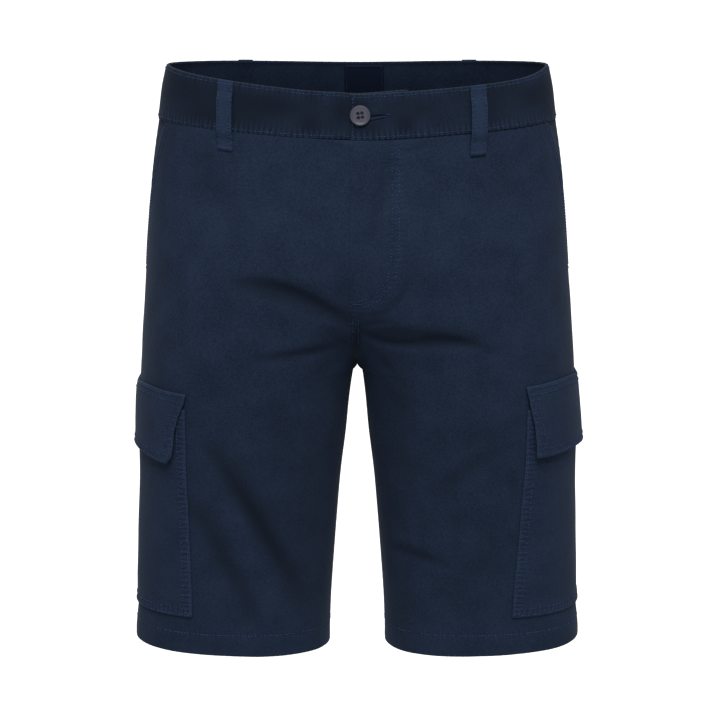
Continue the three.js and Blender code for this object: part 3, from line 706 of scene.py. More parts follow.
@dataclass(frozen=True)
class TwillFinish:
    """Garment-dyed cotton twill: matt, brushed by washing, paler on ridges of its seams from wear
    and a painted highlight, with painted shade in its creases.
    """

    name: str = "garment_dyed_cotton_twill"
    dye: str = "#111b2b"
    # deep is the colour of painted shade in creases, the crotch, the band and the gather valleys.
    deep: str = "#0d1521"
    # worn is the paler colour of seam wear, and also of the painted highlight on gather ridges and
    # the painted light on the inner legs.
    worn: str = "#243147"
    slub: str = "#1e2a3e"
    nap: str = "#8795ab"
    roughness: float = 0.92
    weave_mm: float = 1.5
    grain_mm: float = 1.6
    mottle_mm: float = 28
    fray_mm: float = 4
    bump_mm: float = 0.12
    crumple_mm: float = 13
    crumple_height_mm: float = 0.8
    gather_mm: float = 4.8
    gather_height_mm: float = 0.42

    def gathers(self, tree: bpy.types.NodeTree, coordinates: bpy.types.Node
                ) -> tuple[bpy.types.Node, bpy.types.Node]:
        """Uneven combs of small gathers beside seams, gather_mm from one to the next.

        Args:
            tree: node tree of the cloth.
            coordinates: its texture coordinates.

        Returns:
            The ridges, and the painted shade of the valleys between them, both from 0 to 1.
        """
        ridges, wholes = [], []
        for mark, direction in (("gather_across", "X"), ("gather_down", "Y")):
            strength = add_node(tree, "ShaderNodeAttribute", {"attribute_name": mark}, {})
            comb = add_node(tree, "ShaderNodeTexWave",
                            {"bands_direction": direction, "Distortion": 4.5, "Detail": 2.0,
                             "Scale": 1 / (3.18 * self.gather_mm * METRES),
                             "Detail Scale": 0.6}, {"Vector": (coordinates, "UV")})
            ridges.append(add_node(tree, "ShaderNodeMath", {"operation": "MULTIPLY"},
                                   {0: (strength, "Fac"), 1: (comb, "Fac")}))
            wholes.append(strength)
        ridge = add_node(tree, "ShaderNodeMath", {"operation": "ADD"}, {0: ridges[0], 1: ridges[1]})
        whole = add_node(tree, "ShaderNodeMath", {"operation": "ADD"},
                         {0: (wholes[0], "Fac"), 1: (wholes[1], "Fac")})
        between = add_node(tree, "ShaderNodeMath", {"operation": "SUBTRACT"}, {0: whole, 1: ridge})
        # Painted shade in the valleys between the gathers.
        valley_shade = add_node(tree, "ShaderNodeMath", {"operation": "MULTIPLY", 1: 0.3}, {0: between})
        return ridge, valley_shade

    def material(self) -> bpy.types.Material:
        """Build the material.

        The dye mottles over mottle_mm and specks over grain_mm. Painted shade darkens creases, the
        crotch, the band and the valleys between gathers; a painted highlight lightens gather ridges
        and the inner legs, and seam ridges are paler from wear. Real twill lines are 0.45 mm apart,
        too fine for the render, so they are drawn weave_mm apart on the cloth's own UV in metres.

        Returns:
            The material.
        """
        material, tree = new_material(self.name)
        coordinates = add_node(tree, "ShaderNodeTexCoord", {}, {})
        mottle = noise_node(tree, coordinates, self.mottle_mm, 4.0)
        speck = noise_node(tree, coordinates, self.grain_mm, 2.0)
        uneven = add_node(tree, "ShaderNodeMix", {"data_type": "FLOAT", 0: 0.62},
                          {2: (mottle, 0), 3: (speck, 0)})
        spread = add_node(tree, "ShaderNodeMapRange", {"From Min": 0.34, "From Max": 0.66},
                          {0: (uneven, 0)})
        plain = add_node(tree, "ShaderNodeMix", {"data_type": "FLOAT", 0: 0.95, 2: 0.5},
                         {3: (spread, 0)})
        dyed = add_node(tree, "ShaderNodeMix", {"data_type": "RGBA", 6: srgb(self.dye),
                                                7: srgb(self.slub)}, {0: (plain, 0)})
        # Painted shade: the painted_shade mark and the gather valleys darken the dye towards deep.
        painted_shade = add_node(tree, "ShaderNodeAttribute", {"attribute_name": "painted_shade"}, {})
        ridge, valley_shade = self.gathers(tree, coordinates)
        shade_amount = add_node(tree, "ShaderNodeMath", {"operation": "ADD", "use_clamp": True},
                          {0: (painted_shade, "Fac"), 1: valley_shade})
        folded = add_node(tree, "ShaderNodeMix", {"data_type": "RGBA", 7: srgb(self.deep)},
                          {0: shade_amount, 6: (dyed, 2)})
        wear = add_node(tree, "ShaderNodeAttribute", {"attribute_name": "wear"}, {})
        fray = noise_node(tree, coordinates, self.fray_mm, 3.0)
        frayed = add_node(tree, "ShaderNodeMath", {"operation": "MULTIPLY"},
                          {0: (wear, "Fac"), 1: (fray, 0)})
        # Painted highlight on gather ridges, plus wear along seams, lightens the colour towards
        # worn.
        lit_and_worn = add_node(tree, "ShaderNodeMath", {"operation": "MULTIPLY_ADD", 1: 0.4,
                                                   "use_clamp": True}, {0: ridge, 2: frayed})
        brightened = add_node(tree, "ShaderNodeMix", {"data_type": "RGBA", 7: srgb(self.worn)},
                          {0: lit_and_worn, 6: (folded, 2)})
        along_twill = add_node(tree, "ShaderNodeMapping", {"Rotation": (0, 0, radians(60))},
                               {"Vector": (coordinates, "UV")})
        # A wave texture repeats every 1 / (3.18 * scale) metres at scale 1 per metre.
        twill = add_node(tree, "ShaderNodeTexWave",
                         {"Scale": 1 / (3.18 * self.weave_mm * METRES), "Distortion": 1.2,
                          "Detail": 2.0, "Detail Scale": 1.5}, {"Vector": along_twill})
        grain = noise_node(tree, coordinates, self.grain_mm, 2.0, "UV")
        height = add_node(tree, "ShaderNodeMix", {"data_type": "FLOAT", 0: 0.6},
                          {2: (twill, "Fac"), 3: (grain, 0)})
        crumple = noise_node(tree, coordinates, self.crumple_mm, 2.0)
        soft = add_node(tree, "ShaderNodeBump",
                        {"Strength": 0.5, "Distance": self.crumple_height_mm * METRES},
                        {"Height": (crumple, 0)})
        gathered = add_node(tree, "ShaderNodeBump",
                            {"Strength": 1.0, "Distance": self.gather_height_mm * METRES},
                            {"Height": ridge, "Normal": soft})
        bump = add_node(tree, "ShaderNodeBump",
                        {"Strength": 0.55, "Distance": self.bump_mm * METRES},
                        {"Height": height, "Normal": gathered})
        shader = add_node(tree, "ShaderNodeBsdfPrincipled",
                          {"Roughness": self.roughness, "Specular IOR Level": 0.1,
                           "Sheen Weight": 0.05, "Sheen Roughness": 0.5,
                           "Sheen Tint": srgb(self.nap)},
                          {"Base Color": (brightened, 2), "Normal": bump})
        add_node(tree, "ShaderNodeOutputMaterial", {}, {"Surface": shader})
        return material


@dataclass(frozen=True)
class ThreadFinish:
    """Core-spun polyester sewing thread, dyed with the garment: a slight lustre."""

    name: str = "tonal_sewing_thread"
    colour: str = "#2f4162"
    # Painted shade of the thread where it sinks into the needle holes.
    sunk: str = "#090d16"
    roughness: float = 0.6

    def material(self) -> bpy.types.Material:
        """Thread with plies 0.6 mm apart on Object coordinates, with dark painted shade where it
        sinks into the cloth.
        """
        material, tree = new_material(self.name)
        coordinates = add_node(tree, "ShaderNodeTexCoord", {}, {})
        ply = add_node(tree, "ShaderNodeTexWave", {"Scale": 1 / (3.18 * 0.0006), "Distortion": 2.0},
                       {"Vector": (coordinates, "Object")})
        bump = add_node(tree, "ShaderNodeBump", {"Strength": 0.3, "Distance": 0.0001},
                        {"Height": (ply, "Fac")})
        dive_shade = add_node(tree, "ShaderNodeAttribute", {"attribute_name": "dive_shade"}, {})
        colour = add_node(tree, "ShaderNodeMix",
                          {"data_type": "RGBA", 6: srgb(self.colour), 7: srgb(self.sunk)},
                          {0: (dive_shade, "Fac")})
        shader = add_node(tree, "ShaderNodeBsdfPrincipled",
                          {"Roughness": self.roughness, "Specular IOR Level": 0.05},
                          {"Base Color": (colour, 2), "Normal": bump})
        add_node(tree, "ShaderNodeOutputMaterial", {}, {"Surface": shader})
        return material


@dataclass(frozen=True)
class ResinFinish:
    """Polished polyester resin of a trouser button: grey-navy with faint clouding."""

    name: str = "polished_grey_resin"
    pale: str = "#3c3d4b"
    dark: str = "#2d2e39"
    # Painted shade: near-black inside the button's holes.
    hole: str = "#05060a"
    cloud_mm: float = 3

    def material(self) -> bpy.types.Material:
        """Clouds of two close greys, cloud_mm across, under a soft gloss; painted black shade in
        its holes.
        """
        material, tree = new_material(self.name)
        coordinates = add_node(tree, "ShaderNodeTexCoord", {}, {})
        clouds = noise_node(tree, coordinates, self.cloud_mm, 3.0)
        colour = add_node(tree, "ShaderNodeMix",
                          {"data_type": "RGBA", 6: srgb(self.dark), 7: srgb(self.pale)},
                          {0: (clouds, 0)})
        hole = add_node(tree, "ShaderNodeAttribute", {"attribute_name": "hole"}, {})
        bored = add_node(tree, "ShaderNodeMix", {"data_type": "RGBA", 7: srgb(self.hole)},
                         {0: (hole, "Fac"), 6: (colour, 2)})
        shader = add_node(tree, "ShaderNodeBsdfPrincipled", {"Roughness": 0.4, "IOR": 1.5},
                          {"Base Color": (bored, 2)})
        add_node(tree, "ShaderNodeOutputMaterial", {}, {"Surface": shader})
        return material


@dataclass(frozen=True)
class WovenLabelFinish:
    """Damask-woven polyester tape: navy, with fine ribs across it and a slight lustre."""

    name: str = "damask_woven_label"
    colour: str = "#0d1628"
    rib_mm: float = 0.7

    def material(self) -> bpy.types.Material:
        """Ribs of the weave rib_mm apart on the tape's UV in metres."""
        material, tree = new_material(self.name)
        coordinates = add_node(tree, "ShaderNodeTexCoord", {}, {})
        ribs = add_node(tree, "ShaderNodeTexWave",
                        {"bands_direction": "Y", "Scale": 1 / (3.18 * self.rib_mm * METRES),
                         "Distortion": 0.4}, {"Vector": (coordinates, "UV")})
        bump = add_node(tree, "ShaderNodeBump", {"Strength": 0.4, "Distance": 0.0001},
                        {"Height": (ribs, "Fac")})
        shader = add_node(tree, "ShaderNodeBsdfPrincipled",
                          {"Base Color": srgb(self.colour), "Roughness": 0.7,
                           "Specular IOR Level": 0.1}, {"Normal": bump})
        add_node(tree, "ShaderNodeOutputMaterial", {}, {"Surface": shader})
        return material


@dataclass(frozen=True)
class StudioFloorFinish:
    """Matt white paper sweep."""

    name: str = "white_paper_sweep"
    colour: str = "#f4f4f3"

    def material(self) -> bpy.types.Material:
        """Plain matt white."""
        material, tree = new_material(self.name)
        shader = add_node(tree, "ShaderNodeBsdfPrincipled",
                          {"Base Color": srgb(self.colour), "Roughness": 0.95}, {})
        add_node(tree, "ShaderNodeOutputMaterial", {}, {"Surface": shader})
        return material


@dataclass(frozen=True)
class Wardrobe:
    """The finished materials of the garment, made once."""

    twill: bpy.types.Material
    thread: bpy.types.Material
    resin: bpy.types.Material
    label: bpy.types.Material


def mesh_object(name: str, points: Array, faces: list, material: bpy.types.Material,
                uv: Array | None = None, marks: dict[str, Array] | None = None
                ) -> bpy.types.Object:
    """Make a smooth-shaded mesh object from points in millimetres.

    Args:
        name: name of the object and its mesh.
        points: vertices, rows of x, y, z.
        faces: lists of arrays of faces, each array of one corner count.
        material: finish of the whole piece.
        uv: one place a vertex, in metres on the cloth.
        marks: named values, one a vertex.

    Returns:
        The object, linked to the scene, at the origin.
    """
    mesh = bpy.data.meshes.new(name)
    rows = [row for group in faces for row in np.asarray(group).tolist()]
    mesh.from_pydata((points * METRES).tolist(), [], rows)
    mesh.polygons.foreach_set("use_smooth", np.ones(len(mesh.polygons), bool))
    if uv is not None:
        corners = np.empty(len(mesh.loops), int)
        mesh.loops.foreach_get("vertex_index", corners)
        mesh.uv_layers.new(name="cloth").data.foreach_set("uv", uv[corners].ravel())
    for key, values in (marks or {}).items():
        attribute = mesh.attributes.new(key, "FLOAT", "POINT")
        attribute.data.foreach_set("value", np.asarray(values, np.float32).ravel())
    mesh.materials.append(material)
    mesh.update()
    piece = bpy.data.objects.new(name, mesh)
    bpy.context.collection.objects.link(piece)
    return piece


def cloth_shell(name: str, outer: Array, inner: Array, material: bpy.types.Material,
                marks: dict[str, Array], rims: tuple[Rim, Rim, Rim, Rim],
                strip: bool = False) -> bpy.types.Object:
    """Close a cloth wall between an outer and an inner grid, with a middle ring at its rim.

    The middle ring lies halfway through the wall and swells outward on folded edges.

    Args:
        name: name of the piece.
        outer: grid of rows and columns of outside points, in millimetres.
        inner: the same grid on the inside.
        material: finish of the cloth.
        marks: attribute grids for the outside.
        rims: edges at the first row, last column, last row and first column.
        strip: the piece is a straight strip, so its cloth grid keeps one length in all rows.

    Returns:
        The piece.
    """
    rows, columns = outer.shape[:2]
    count = rows * columns
    index = np.arange(count).reshape(rows, columns)
    ring = np.concatenate([index[0, :-1], index[:-1, -1], index[-1, :0:-1], index[:0:-1, 0]])
    swell = np.repeat([rim.value for rim in rims],
                      [columns - 1, rows - 1, columns - 1, rows - 1])
    ring_row, ring_column = ring // columns, ring % columns
    inward = (np.clip(ring_row, 1, rows - 2), np.clip(ring_column, 1, columns - 2))
    outside, inside = outer.reshape(-1, 3), inner.reshape(-1, 3)
    away = unit(outside[ring] - outer[inward])
    thickness = np.linalg.norm(outside[ring] - inside[ring], axis=1)
    middle = (outside[ring] + inside[ring]) / 2 + away * (swell * thickness)[:, None]
    a, b = index[:-1, :-1].ravel(), index[1:, :-1].ravel()
    c, d = index[1:, 1:].ravel(), index[:-1, 1:].ravel()
    sheet = np.stack([a, b, c, d], axis=1)
    next_ring = np.roll(ring, -1)
    middle_index = 2 * count + np.arange(len(ring))
    next_middle = np.roll(middle_index, -1)
    rim_out = np.stack([ring, next_ring, next_middle, middle_index], axis=1)
    rim_in = np.stack([middle_index, next_middle, next_ring + count, ring + count], axis=1)
    faces = np.concatenate([sheet, sheet[:, ::-1] + count, rim_out, rim_in])
    row, column = rows // 2, columns // 2
    facing = np.cross(outer[row + 1, column] - outer[row, column],
                      outer[row, column + 1] - outer[row, column])
    if np.dot(facing, outer[row, column] - inner[row, column]) < 0:
        faces = faces[:, ::-1]
    across = np.linalg.norm(np.diff(outer, axis=1), axis=-1)
    if strip:
        across = across.mean(axis=0, keepdims=True) + 0 * across
    down = np.linalg.norm(np.diff(outer, axis=0), axis=-1)
    u = np.concatenate([np.zeros((rows, 1)), np.cumsum(across, axis=1)], axis=1)
    v = np.concatenate([np.zeros((1, columns)), np.cumsum(down, axis=0)], axis=0)
    flat = np.stack([u.ravel(), v.ravel()], axis=1) * METRES
    spread = {key: np.concatenate([grid.ravel(), 0 * grid.ravel(), grid.ravel()[ring]])
              for key, grid in marks.items()}
    points = np.concatenate([outside, inside, middle])
    uv = np.concatenate([flat, flat, flat[ring]])
    return mesh_object(name, points, [faces], material, uv, spread)


@dataclass(frozen=True)
class Stitcher:
    """Lockstitching: small arched stitches that sink into the cloth at both ends."""

    pitch: float = 3.0
    length: float = 2.75
    radius: float = 0.42
    sides: int = 5
    unevenness: float = 0.6

    def run(self, path: Array, normal: Array) -> tuple[Array, list[Array], Array]:
        """Stitches along a path: short tubes of three bands whose middle arches up.

        Args:
            path: points on the cloth, in millimetres.
            normal: the cloth's outward normals there.

        Returns:
            Vertices, faces of four and of five corners, and for each vertex the painted shade where
            its thread sinks into the needle's hole, deeper on stitches pulled tighter at random,
            from 0 to 1.
        """
        steps = np.linalg.norm(np.diff(path, axis=0), axis=1)
        walked = np.concatenate([[0], np.cumsum(steps)])
        count = max(1, int(walked[-1] / self.pitch))
        centres = (np.arange(count) + 0.5) * walked[-1] / count
        shares = np.array([-0.5, -0.27, 0.27, 0.5])
        girth = self.radius * np.array([0.7, 1, 1, 0.7])
        arch = np.array([-0.2, 0.1, 0.1, -0.2])
        places = centres[:, None] + shares[None, :] * self.length
        at = np.stack([np.interp(places, walked, path[:, k]) for k in range(3)], axis=-1)
        up = unit(np.stack([np.interp(places, walked, normal[:, k]) for k in range(3)], axis=-1))
        ahead = unit(at[:, -1:] - at[:, :1])
        beside = unit(np.cross(ahead, up))
        angle = 2 * pi * np.arange(self.sides) / self.sides
        spoke = (beside[:, :, None, :] * np.cos(angle)[None, None, :, None]
                 + up[:, :, None, :] * np.sin(angle)[None, None, :, None])
        rings = at[:, :, None, :] + arch[None, :, None, None] * up[:, :, None, :]
        rings = rings + girth[None, :, None, None] * spoke
        points = rings.reshape(-1, 3)
        first = (np.arange(count) * 4 * self.sides)[:, None, None]
        band = (np.arange(3) * self.sides)[None, :, None]
        k = np.arange(self.sides)[None, None, :]
        after = (k + 1) % self.sides
        quads = np.stack([first + band + k, first + band + self.sides + k,
                          first + band + self.sides + after, first + band + after], axis=-1)
        start = first[:, 0] + np.arange(self.sides)[None, :]
        end = first[:, 0] + 3 * self.sides + np.arange(self.sides)[None, ::-1]
        pulled = np.random.default_rng(count).uniform(0, self.unevenness, count)
        # Painted shade: dark at both ends of each stitch, and over whole stitches pulled tighter at
        # random.
        dive_shade = np.array([1.0, 0.0, 0.0, 1.0]) * (1 - pulled[:, None]) + pulled[:, None]
        dive_shade = np.repeat(dive_shade.ravel(), self.sides)
        return points, [quads.reshape(-1, 4), start, end], dive_shade


@dataclass
class ThreadWork:
    """All the stitching on one piece of cloth, gathered into one mesh."""

    name: str
    points: list[Array] = field(default_factory=list)
    faces: list[Array] = field(default_factory=list)
    dive_shades: list[Array] = field(default_factory=list)
    count: int = 0

    def sew(self, path: Array, normal: Array, stitcher: Stitcher = Stitcher()) -> None:
        """Add a row of stitches.

        Args:
            path: points on the cloth, in millimetres.
            normal: the cloth's outward normals there.
            stitcher: size of the stitches.
        """
        points, faces, dive_shade = stitcher.run(path, normal)
        self.points.append(points)
        self.dive_shades.append(dive_shade)
        self.faces.extend(group + self.count for group in faces)
        self.count += len(points)

    def bartack(self, start: Array, end: Array, normal: Array, width: float) -> None:
        """Add a bartack: close stitches laid side by side across a short line.

        Args:
            start: first end of the line.
            end: last end of the line.
            normal: outward direction.
            width: length of the stitches across it.
        """
        across = unit(np.cross(end - start, normal)) * width / 2
        shares = np.arange(0.5, np.linalg.norm(end - start) / 0.62)[:, None]
        shares = shares / (len(shares) or 1)
        tack = Stitcher(pitch=width, length=width, radius=0.34)
        for middle in start + (end - start) * shares:
            line = np.stack([middle - across, middle, middle + across])
            self.sew(line, np.repeat(normal[None, :], 3, axis=0), tack)

    def finish(self, wardrobe: Wardrobe) -> None:
        """Make the mesh of the stitching and ride it on the garment."""
        marks = {"dive_shade": np.concatenate(self.dive_shades)}
        piece = mesh_object(self.name, np.concatenate(self.points), self.faces,
                            wardrobe.thread, marks=marks)
        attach(piece, "root")
        LOG.info("%s: %d faces", self.name, len(piece.data.polygons))


def report_cloth(piece: bpy.types.Object, node: str, flat: tuple[float, float], area: float,
                 rests_on: list[str]) -> None:
    """Ride a dressed piece on the garment, hide the solid that it replaces and log its faces.

    Args:
        piece: the dressed cloth.
        node: the solid it replaces.
        flat: width and length of the cut, in metres; not used.
        area: area of the cut's outline, in square metres; not used.
        rests_on: the solids that it is sewn to; not used.
    """
    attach(piece, "root")
    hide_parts(node)
    LOG.info("%s: %d faces", piece.name, len(piece.data.polygons))


@dataclass
class LegPanel:
    """One front or back of the shorts, from the waist seam to the turned-up hem."""

    side: Side
    face: Face
    drape: Drape
    wall: float = 1.6
    hem_wall: float = 3.0
    hem_painted_shade: float = -522
    seam_gap: float = 0.04
    fly_overlap: float = 0.8
    seam_lap: float = 0.3
    crowding: float = 1.15
    pull: float = 5
    columns: int = 112
    flat: tuple[float, float] = (0.335, 0.52)
    area: float = 0.128

    @property
    def node(self) -> str:
        """Name of the solid that this panel replaces."""
        return f"{self.face.name.lower()}_{self.side.name.lower()}"

    def rows(self) -> Array:
        """Nominal heights of the rows, closer together where the crotch turns under."""
        top = -self.drape.form.band_height - self.seam_gap
        return np.concatenate([
            np.array([top, top - 0.7, top - 1.6]), np.linspace(top - 3, -238, 84),
            np.linspace(-238, -264, 16)[1:], np.linspace(-264, -277, 14)[1:],
            np.linspace(-277, -279, 14)[1:], np.linspace(-279, -518, 98)[1:],
            np.array([-520, -521.5, -523, -524.5]),
            np.linspace(-527, -540.6, 7), np.array([-541.5, -542])])

    def turns(self, row: Array) -> Array:
        """Turns of the columns of every row: even arcs, with close columns at both edges.

        Args:
            row: nominal heights of the rows.

        Returns:
            Grid of turns, a row of it for each height.
        """
        form, side, face = self.drape.form, self.side.value, self.face.value
        samples, arcs = form.row_arcs(side, face, row)
        laps = self.fly_overlap * (face > 0) * ramp(row, form.lap_fades, self.drape.fly_bottom)
        overlap = (side > 0) * (self.seam_lap + laps)
        end_turn = form.centre_turn(side, face, row, self.seam_gap - overlap)
        total = np.array([np.interp(t, samples, a) for t, a in zip(end_turn, arcs)])
        start = self.seam_gap + (form.mouth_at(row) if face > 0 else 0 * row)
        evened = total + (arcs[:, -1] - total) * ramp(row, form.rise_top, form.crotch)
        edge = np.array([0, 0.6, 1.3, 2.2, 3.4])
        share = 1 - (1 - np.linspace(0, 1, self.columns)) ** self.crowding
        low, high = (start + edge[-1])[:, None], (evened - edge[-1])[:, None]
        inner = low + (high - low) * share + (total - evened)[:, None] * share**self.pull
        places = np.concatenate([start[:, None] + edge[None, :-1], inner,
                                 total[:, None] - edge[None, -2::-1]], axis=1)
        turns = np.array([np.interp(p, a, samples) for p, a in zip(places, arcs)])
        return face * np.minimum(turns, end_turn[:, None])

    def build(self, wardrobe: Wardrobe) -> None:
        form, side = self.drape.form, self.side.value
        row = self.rows()
        turns = self.turns(row)
        heights = form.row_height(turns, row[:, None])
        wall = np.where(row < self.hem_painted_shade, self.hem_wall, self.wall)[:, None] + 0 * turns
        outer = self.drape.place(side, turns, heights)
        inner = self.drape.place(side, turns, heights, -wall)
        marks = self.drape.marks(side, turns, heights)
        laps = self.side is Side.LEFT and self.face is Face.FRONT
        rims = (Rim.SEAM, Rim.FOLDED if laps else Rim.SEAM, Rim.FOLDED, Rim.SEAM)
        piece = cloth_shell(f"{self.node}_cloth", outer, inner, wardrobe.twill, marks, rims)
        other = Face.BACK if self.face is Face.FRONT else Face.FRONT
        rests_on = ["waistband", f"{other.name.lower()}_{self.side.name.lower()}"]
        report_cloth(piece, self.node, self.flat, self.area, rests_on)
        self.stitch(wardrobe)

    def line(self, turn: Array, row: Array) -> tuple[Array, Array]:
        """Path and normals on the dressed cloth for turns at nominal heights."""
        form, side = self.drape.form, self.side.value
        z = form.row_height(turn, row)
        return self.drape.place(side, turn, z, 0.12), form.normal(side, turn, z)

    def line_at_x(self, x: Array, z: Array) -> tuple[Array, Array]:
        """Path and normals on the front for signed x at true heights."""
        form, side = self.drape.form, self.side.value
        turn = form.turn_at_x(self.face.value, z, side * x, pi)
        return self.drape.place(side, turn, z, 0.12), form.normal(side, turn, z)

    def stitch(self, wardrobe: Wardrobe) -> None:
        """Sew the rows that show on this panel."""
        form, side, face = self.drape.form, self.side.value, self.face.value
        work = ThreadWork(f"{self.node}_stitching")
        row = np.array([form.hem_middle + self.drape.hem_depth])
        turns = np.linspace(0.02, form.centre_turn(side, face, row, 1.0)[0], 160)
        work.sew(*self.line(face * turns, np.full(turns.shape, row[0])))
        if self.face is Face.FRONT:
            self.stitch_mouth(work)
        if self.face is Face.FRONT and self.side is Side.LEFT:
            self.stitch_fly(work)
        if self.face is Face.BACK and self.side is Side.LEFT:
            for x in (2.2, 8.2):
                z = np.linspace(-54, -250, 160)
                work.sew(*self.line_at_x(np.full(z.shape, x), z))
        work.finish(wardrobe)

    def stitch_mouth(self, work: ThreadWork) -> None:
        """Two rows along the slanting pocket mouth, closed by a bartack below."""
        form, side = self.drape.form, self.side.value
        row = np.linspace(-46, form.mouth_bottom + 6, 80)
        samples, arcs = form.row_arcs(side, 1, row)
        for inset in (2.0, 8.0):
            places = form.mouth_at(row) + inset
            turns = np.array([np.interp(p, a, samples) for p, a in zip(places, arcs)])
            work.sew(*self.line(turns, row))
        low = np.array([form.mouth_bottom + 3.0])
        samples, arcs = form.row_arcs(side, 1, low)
        turns = np.interp([1.5, 9.5], arcs[0], samples)
        path, normal = self.line(turns, np.full(2, low[0]))
        work.bartack(path[0], path[1], normal[0], 2.4)

    def stitch_fly(self, work: ThreadWork) -> None:
        """Two rows round the fly, the bartack at its foot and the lap down to the crotch."""
        path = np.array(FLY_STITCH, float)
        ahead = unit(np.gradient(path, axis=0))
        inward = np.stack([ahead[:, 1], -ahead[:, 0]], axis=1)
        walked = np.concatenate([[0], np.cumsum(np.linalg.norm(np.diff(path, axis=0), axis=1))])
        places = np.linspace(0, walked[-1], 220)
        for inset in (0.0, FLY_STITCH_GAP):
            row = path + inward * inset
            work.sew(*self.line_at_x(np.interp(places, walked, row[:, 0]),
                                     np.interp(places, walked, row[:, 1])))
        foot, normal = self.line_at_x(np.array([-4.2, 4.4]), np.array([-205.5, -205.5]))
        work.bartack(foot[0], foot[1], normal[0], 1.8)
        z = np.linspace(-212, -246, 60)
        for x in (-4.0, 1.2):
            work.sew(*self.line_at_x(np.full(z.shape, x) * ramp(z, -290, -262), z))


@dataclass
class MouthFacing:
    """The cloth seen in a side pocket's slanting mouth."""

    side: Side
    drape: Drape
    wall: float = 1.2
    bottom: float = -176
    under: float = 12
    depth: float = 2.35
    flat: tuple[float, float] = (0.05, 0.14)
    area: float = 0.0039

    def build(self, wardrobe: Wardrobe) -> None:
        """Make the facing: flush at the side seam, dipping under the front panel."""
        form, side = self.drape.form, self.side.value
        top = -form.band_height - 0.04
        row = np.linspace(top, self.bottom, 70)
        samples, arcs = form.row_arcs(side, 1, row)
        share = np.linspace(0, 1, 24)
        dip_share = np.minimum(1, share / 0.5)
        visible = form.mouth_at(row)[:, None]
        places = 0.04 + np.where(share < 0.5, share * 2 * 0.7 * visible,
                                 0.7 * visible + (share - 0.5) * 2 * (0.3 * visible + self.under))
        turns = np.array([np.interp(p, a, samples) for p, a in zip(places, arcs)])
        heights = form.row_height(turns, row[:, None])
        sunk = -self.depth * ramp(dip_share, 0, 1)[None, :] + 0 * turns
        outer = self.drape.place(side, turns, heights, sunk)
        inner = self.drape.place(side, turns, heights, sunk - self.wall)
        marks = self.drape.marks(side, turns, heights)
        rims = (Rim.SEAM,) * 4
        word = self.side.name.lower()
        node = f"side_pocket_facing_{word}"
        piece = cloth_shell(f"{node}_cloth", outer, inner, wardrobe.twill, marks, rims)
        report_cloth(piece, node, self.flat, self.area, [f"back_{word}", "waistband"])


@dataclass(frozen=True)
class PatchRow:
    """One row of a piece on the leg: the panel's x under its two edges, and how it stands off.

    A bulge lifts the row's middle, arch and middle bend the row upwards.
    """

    z: float
    front_x: float
    back_x: float
    lift: float
    bulge: float = 0
    arch: float = 0
    middle: float = 0


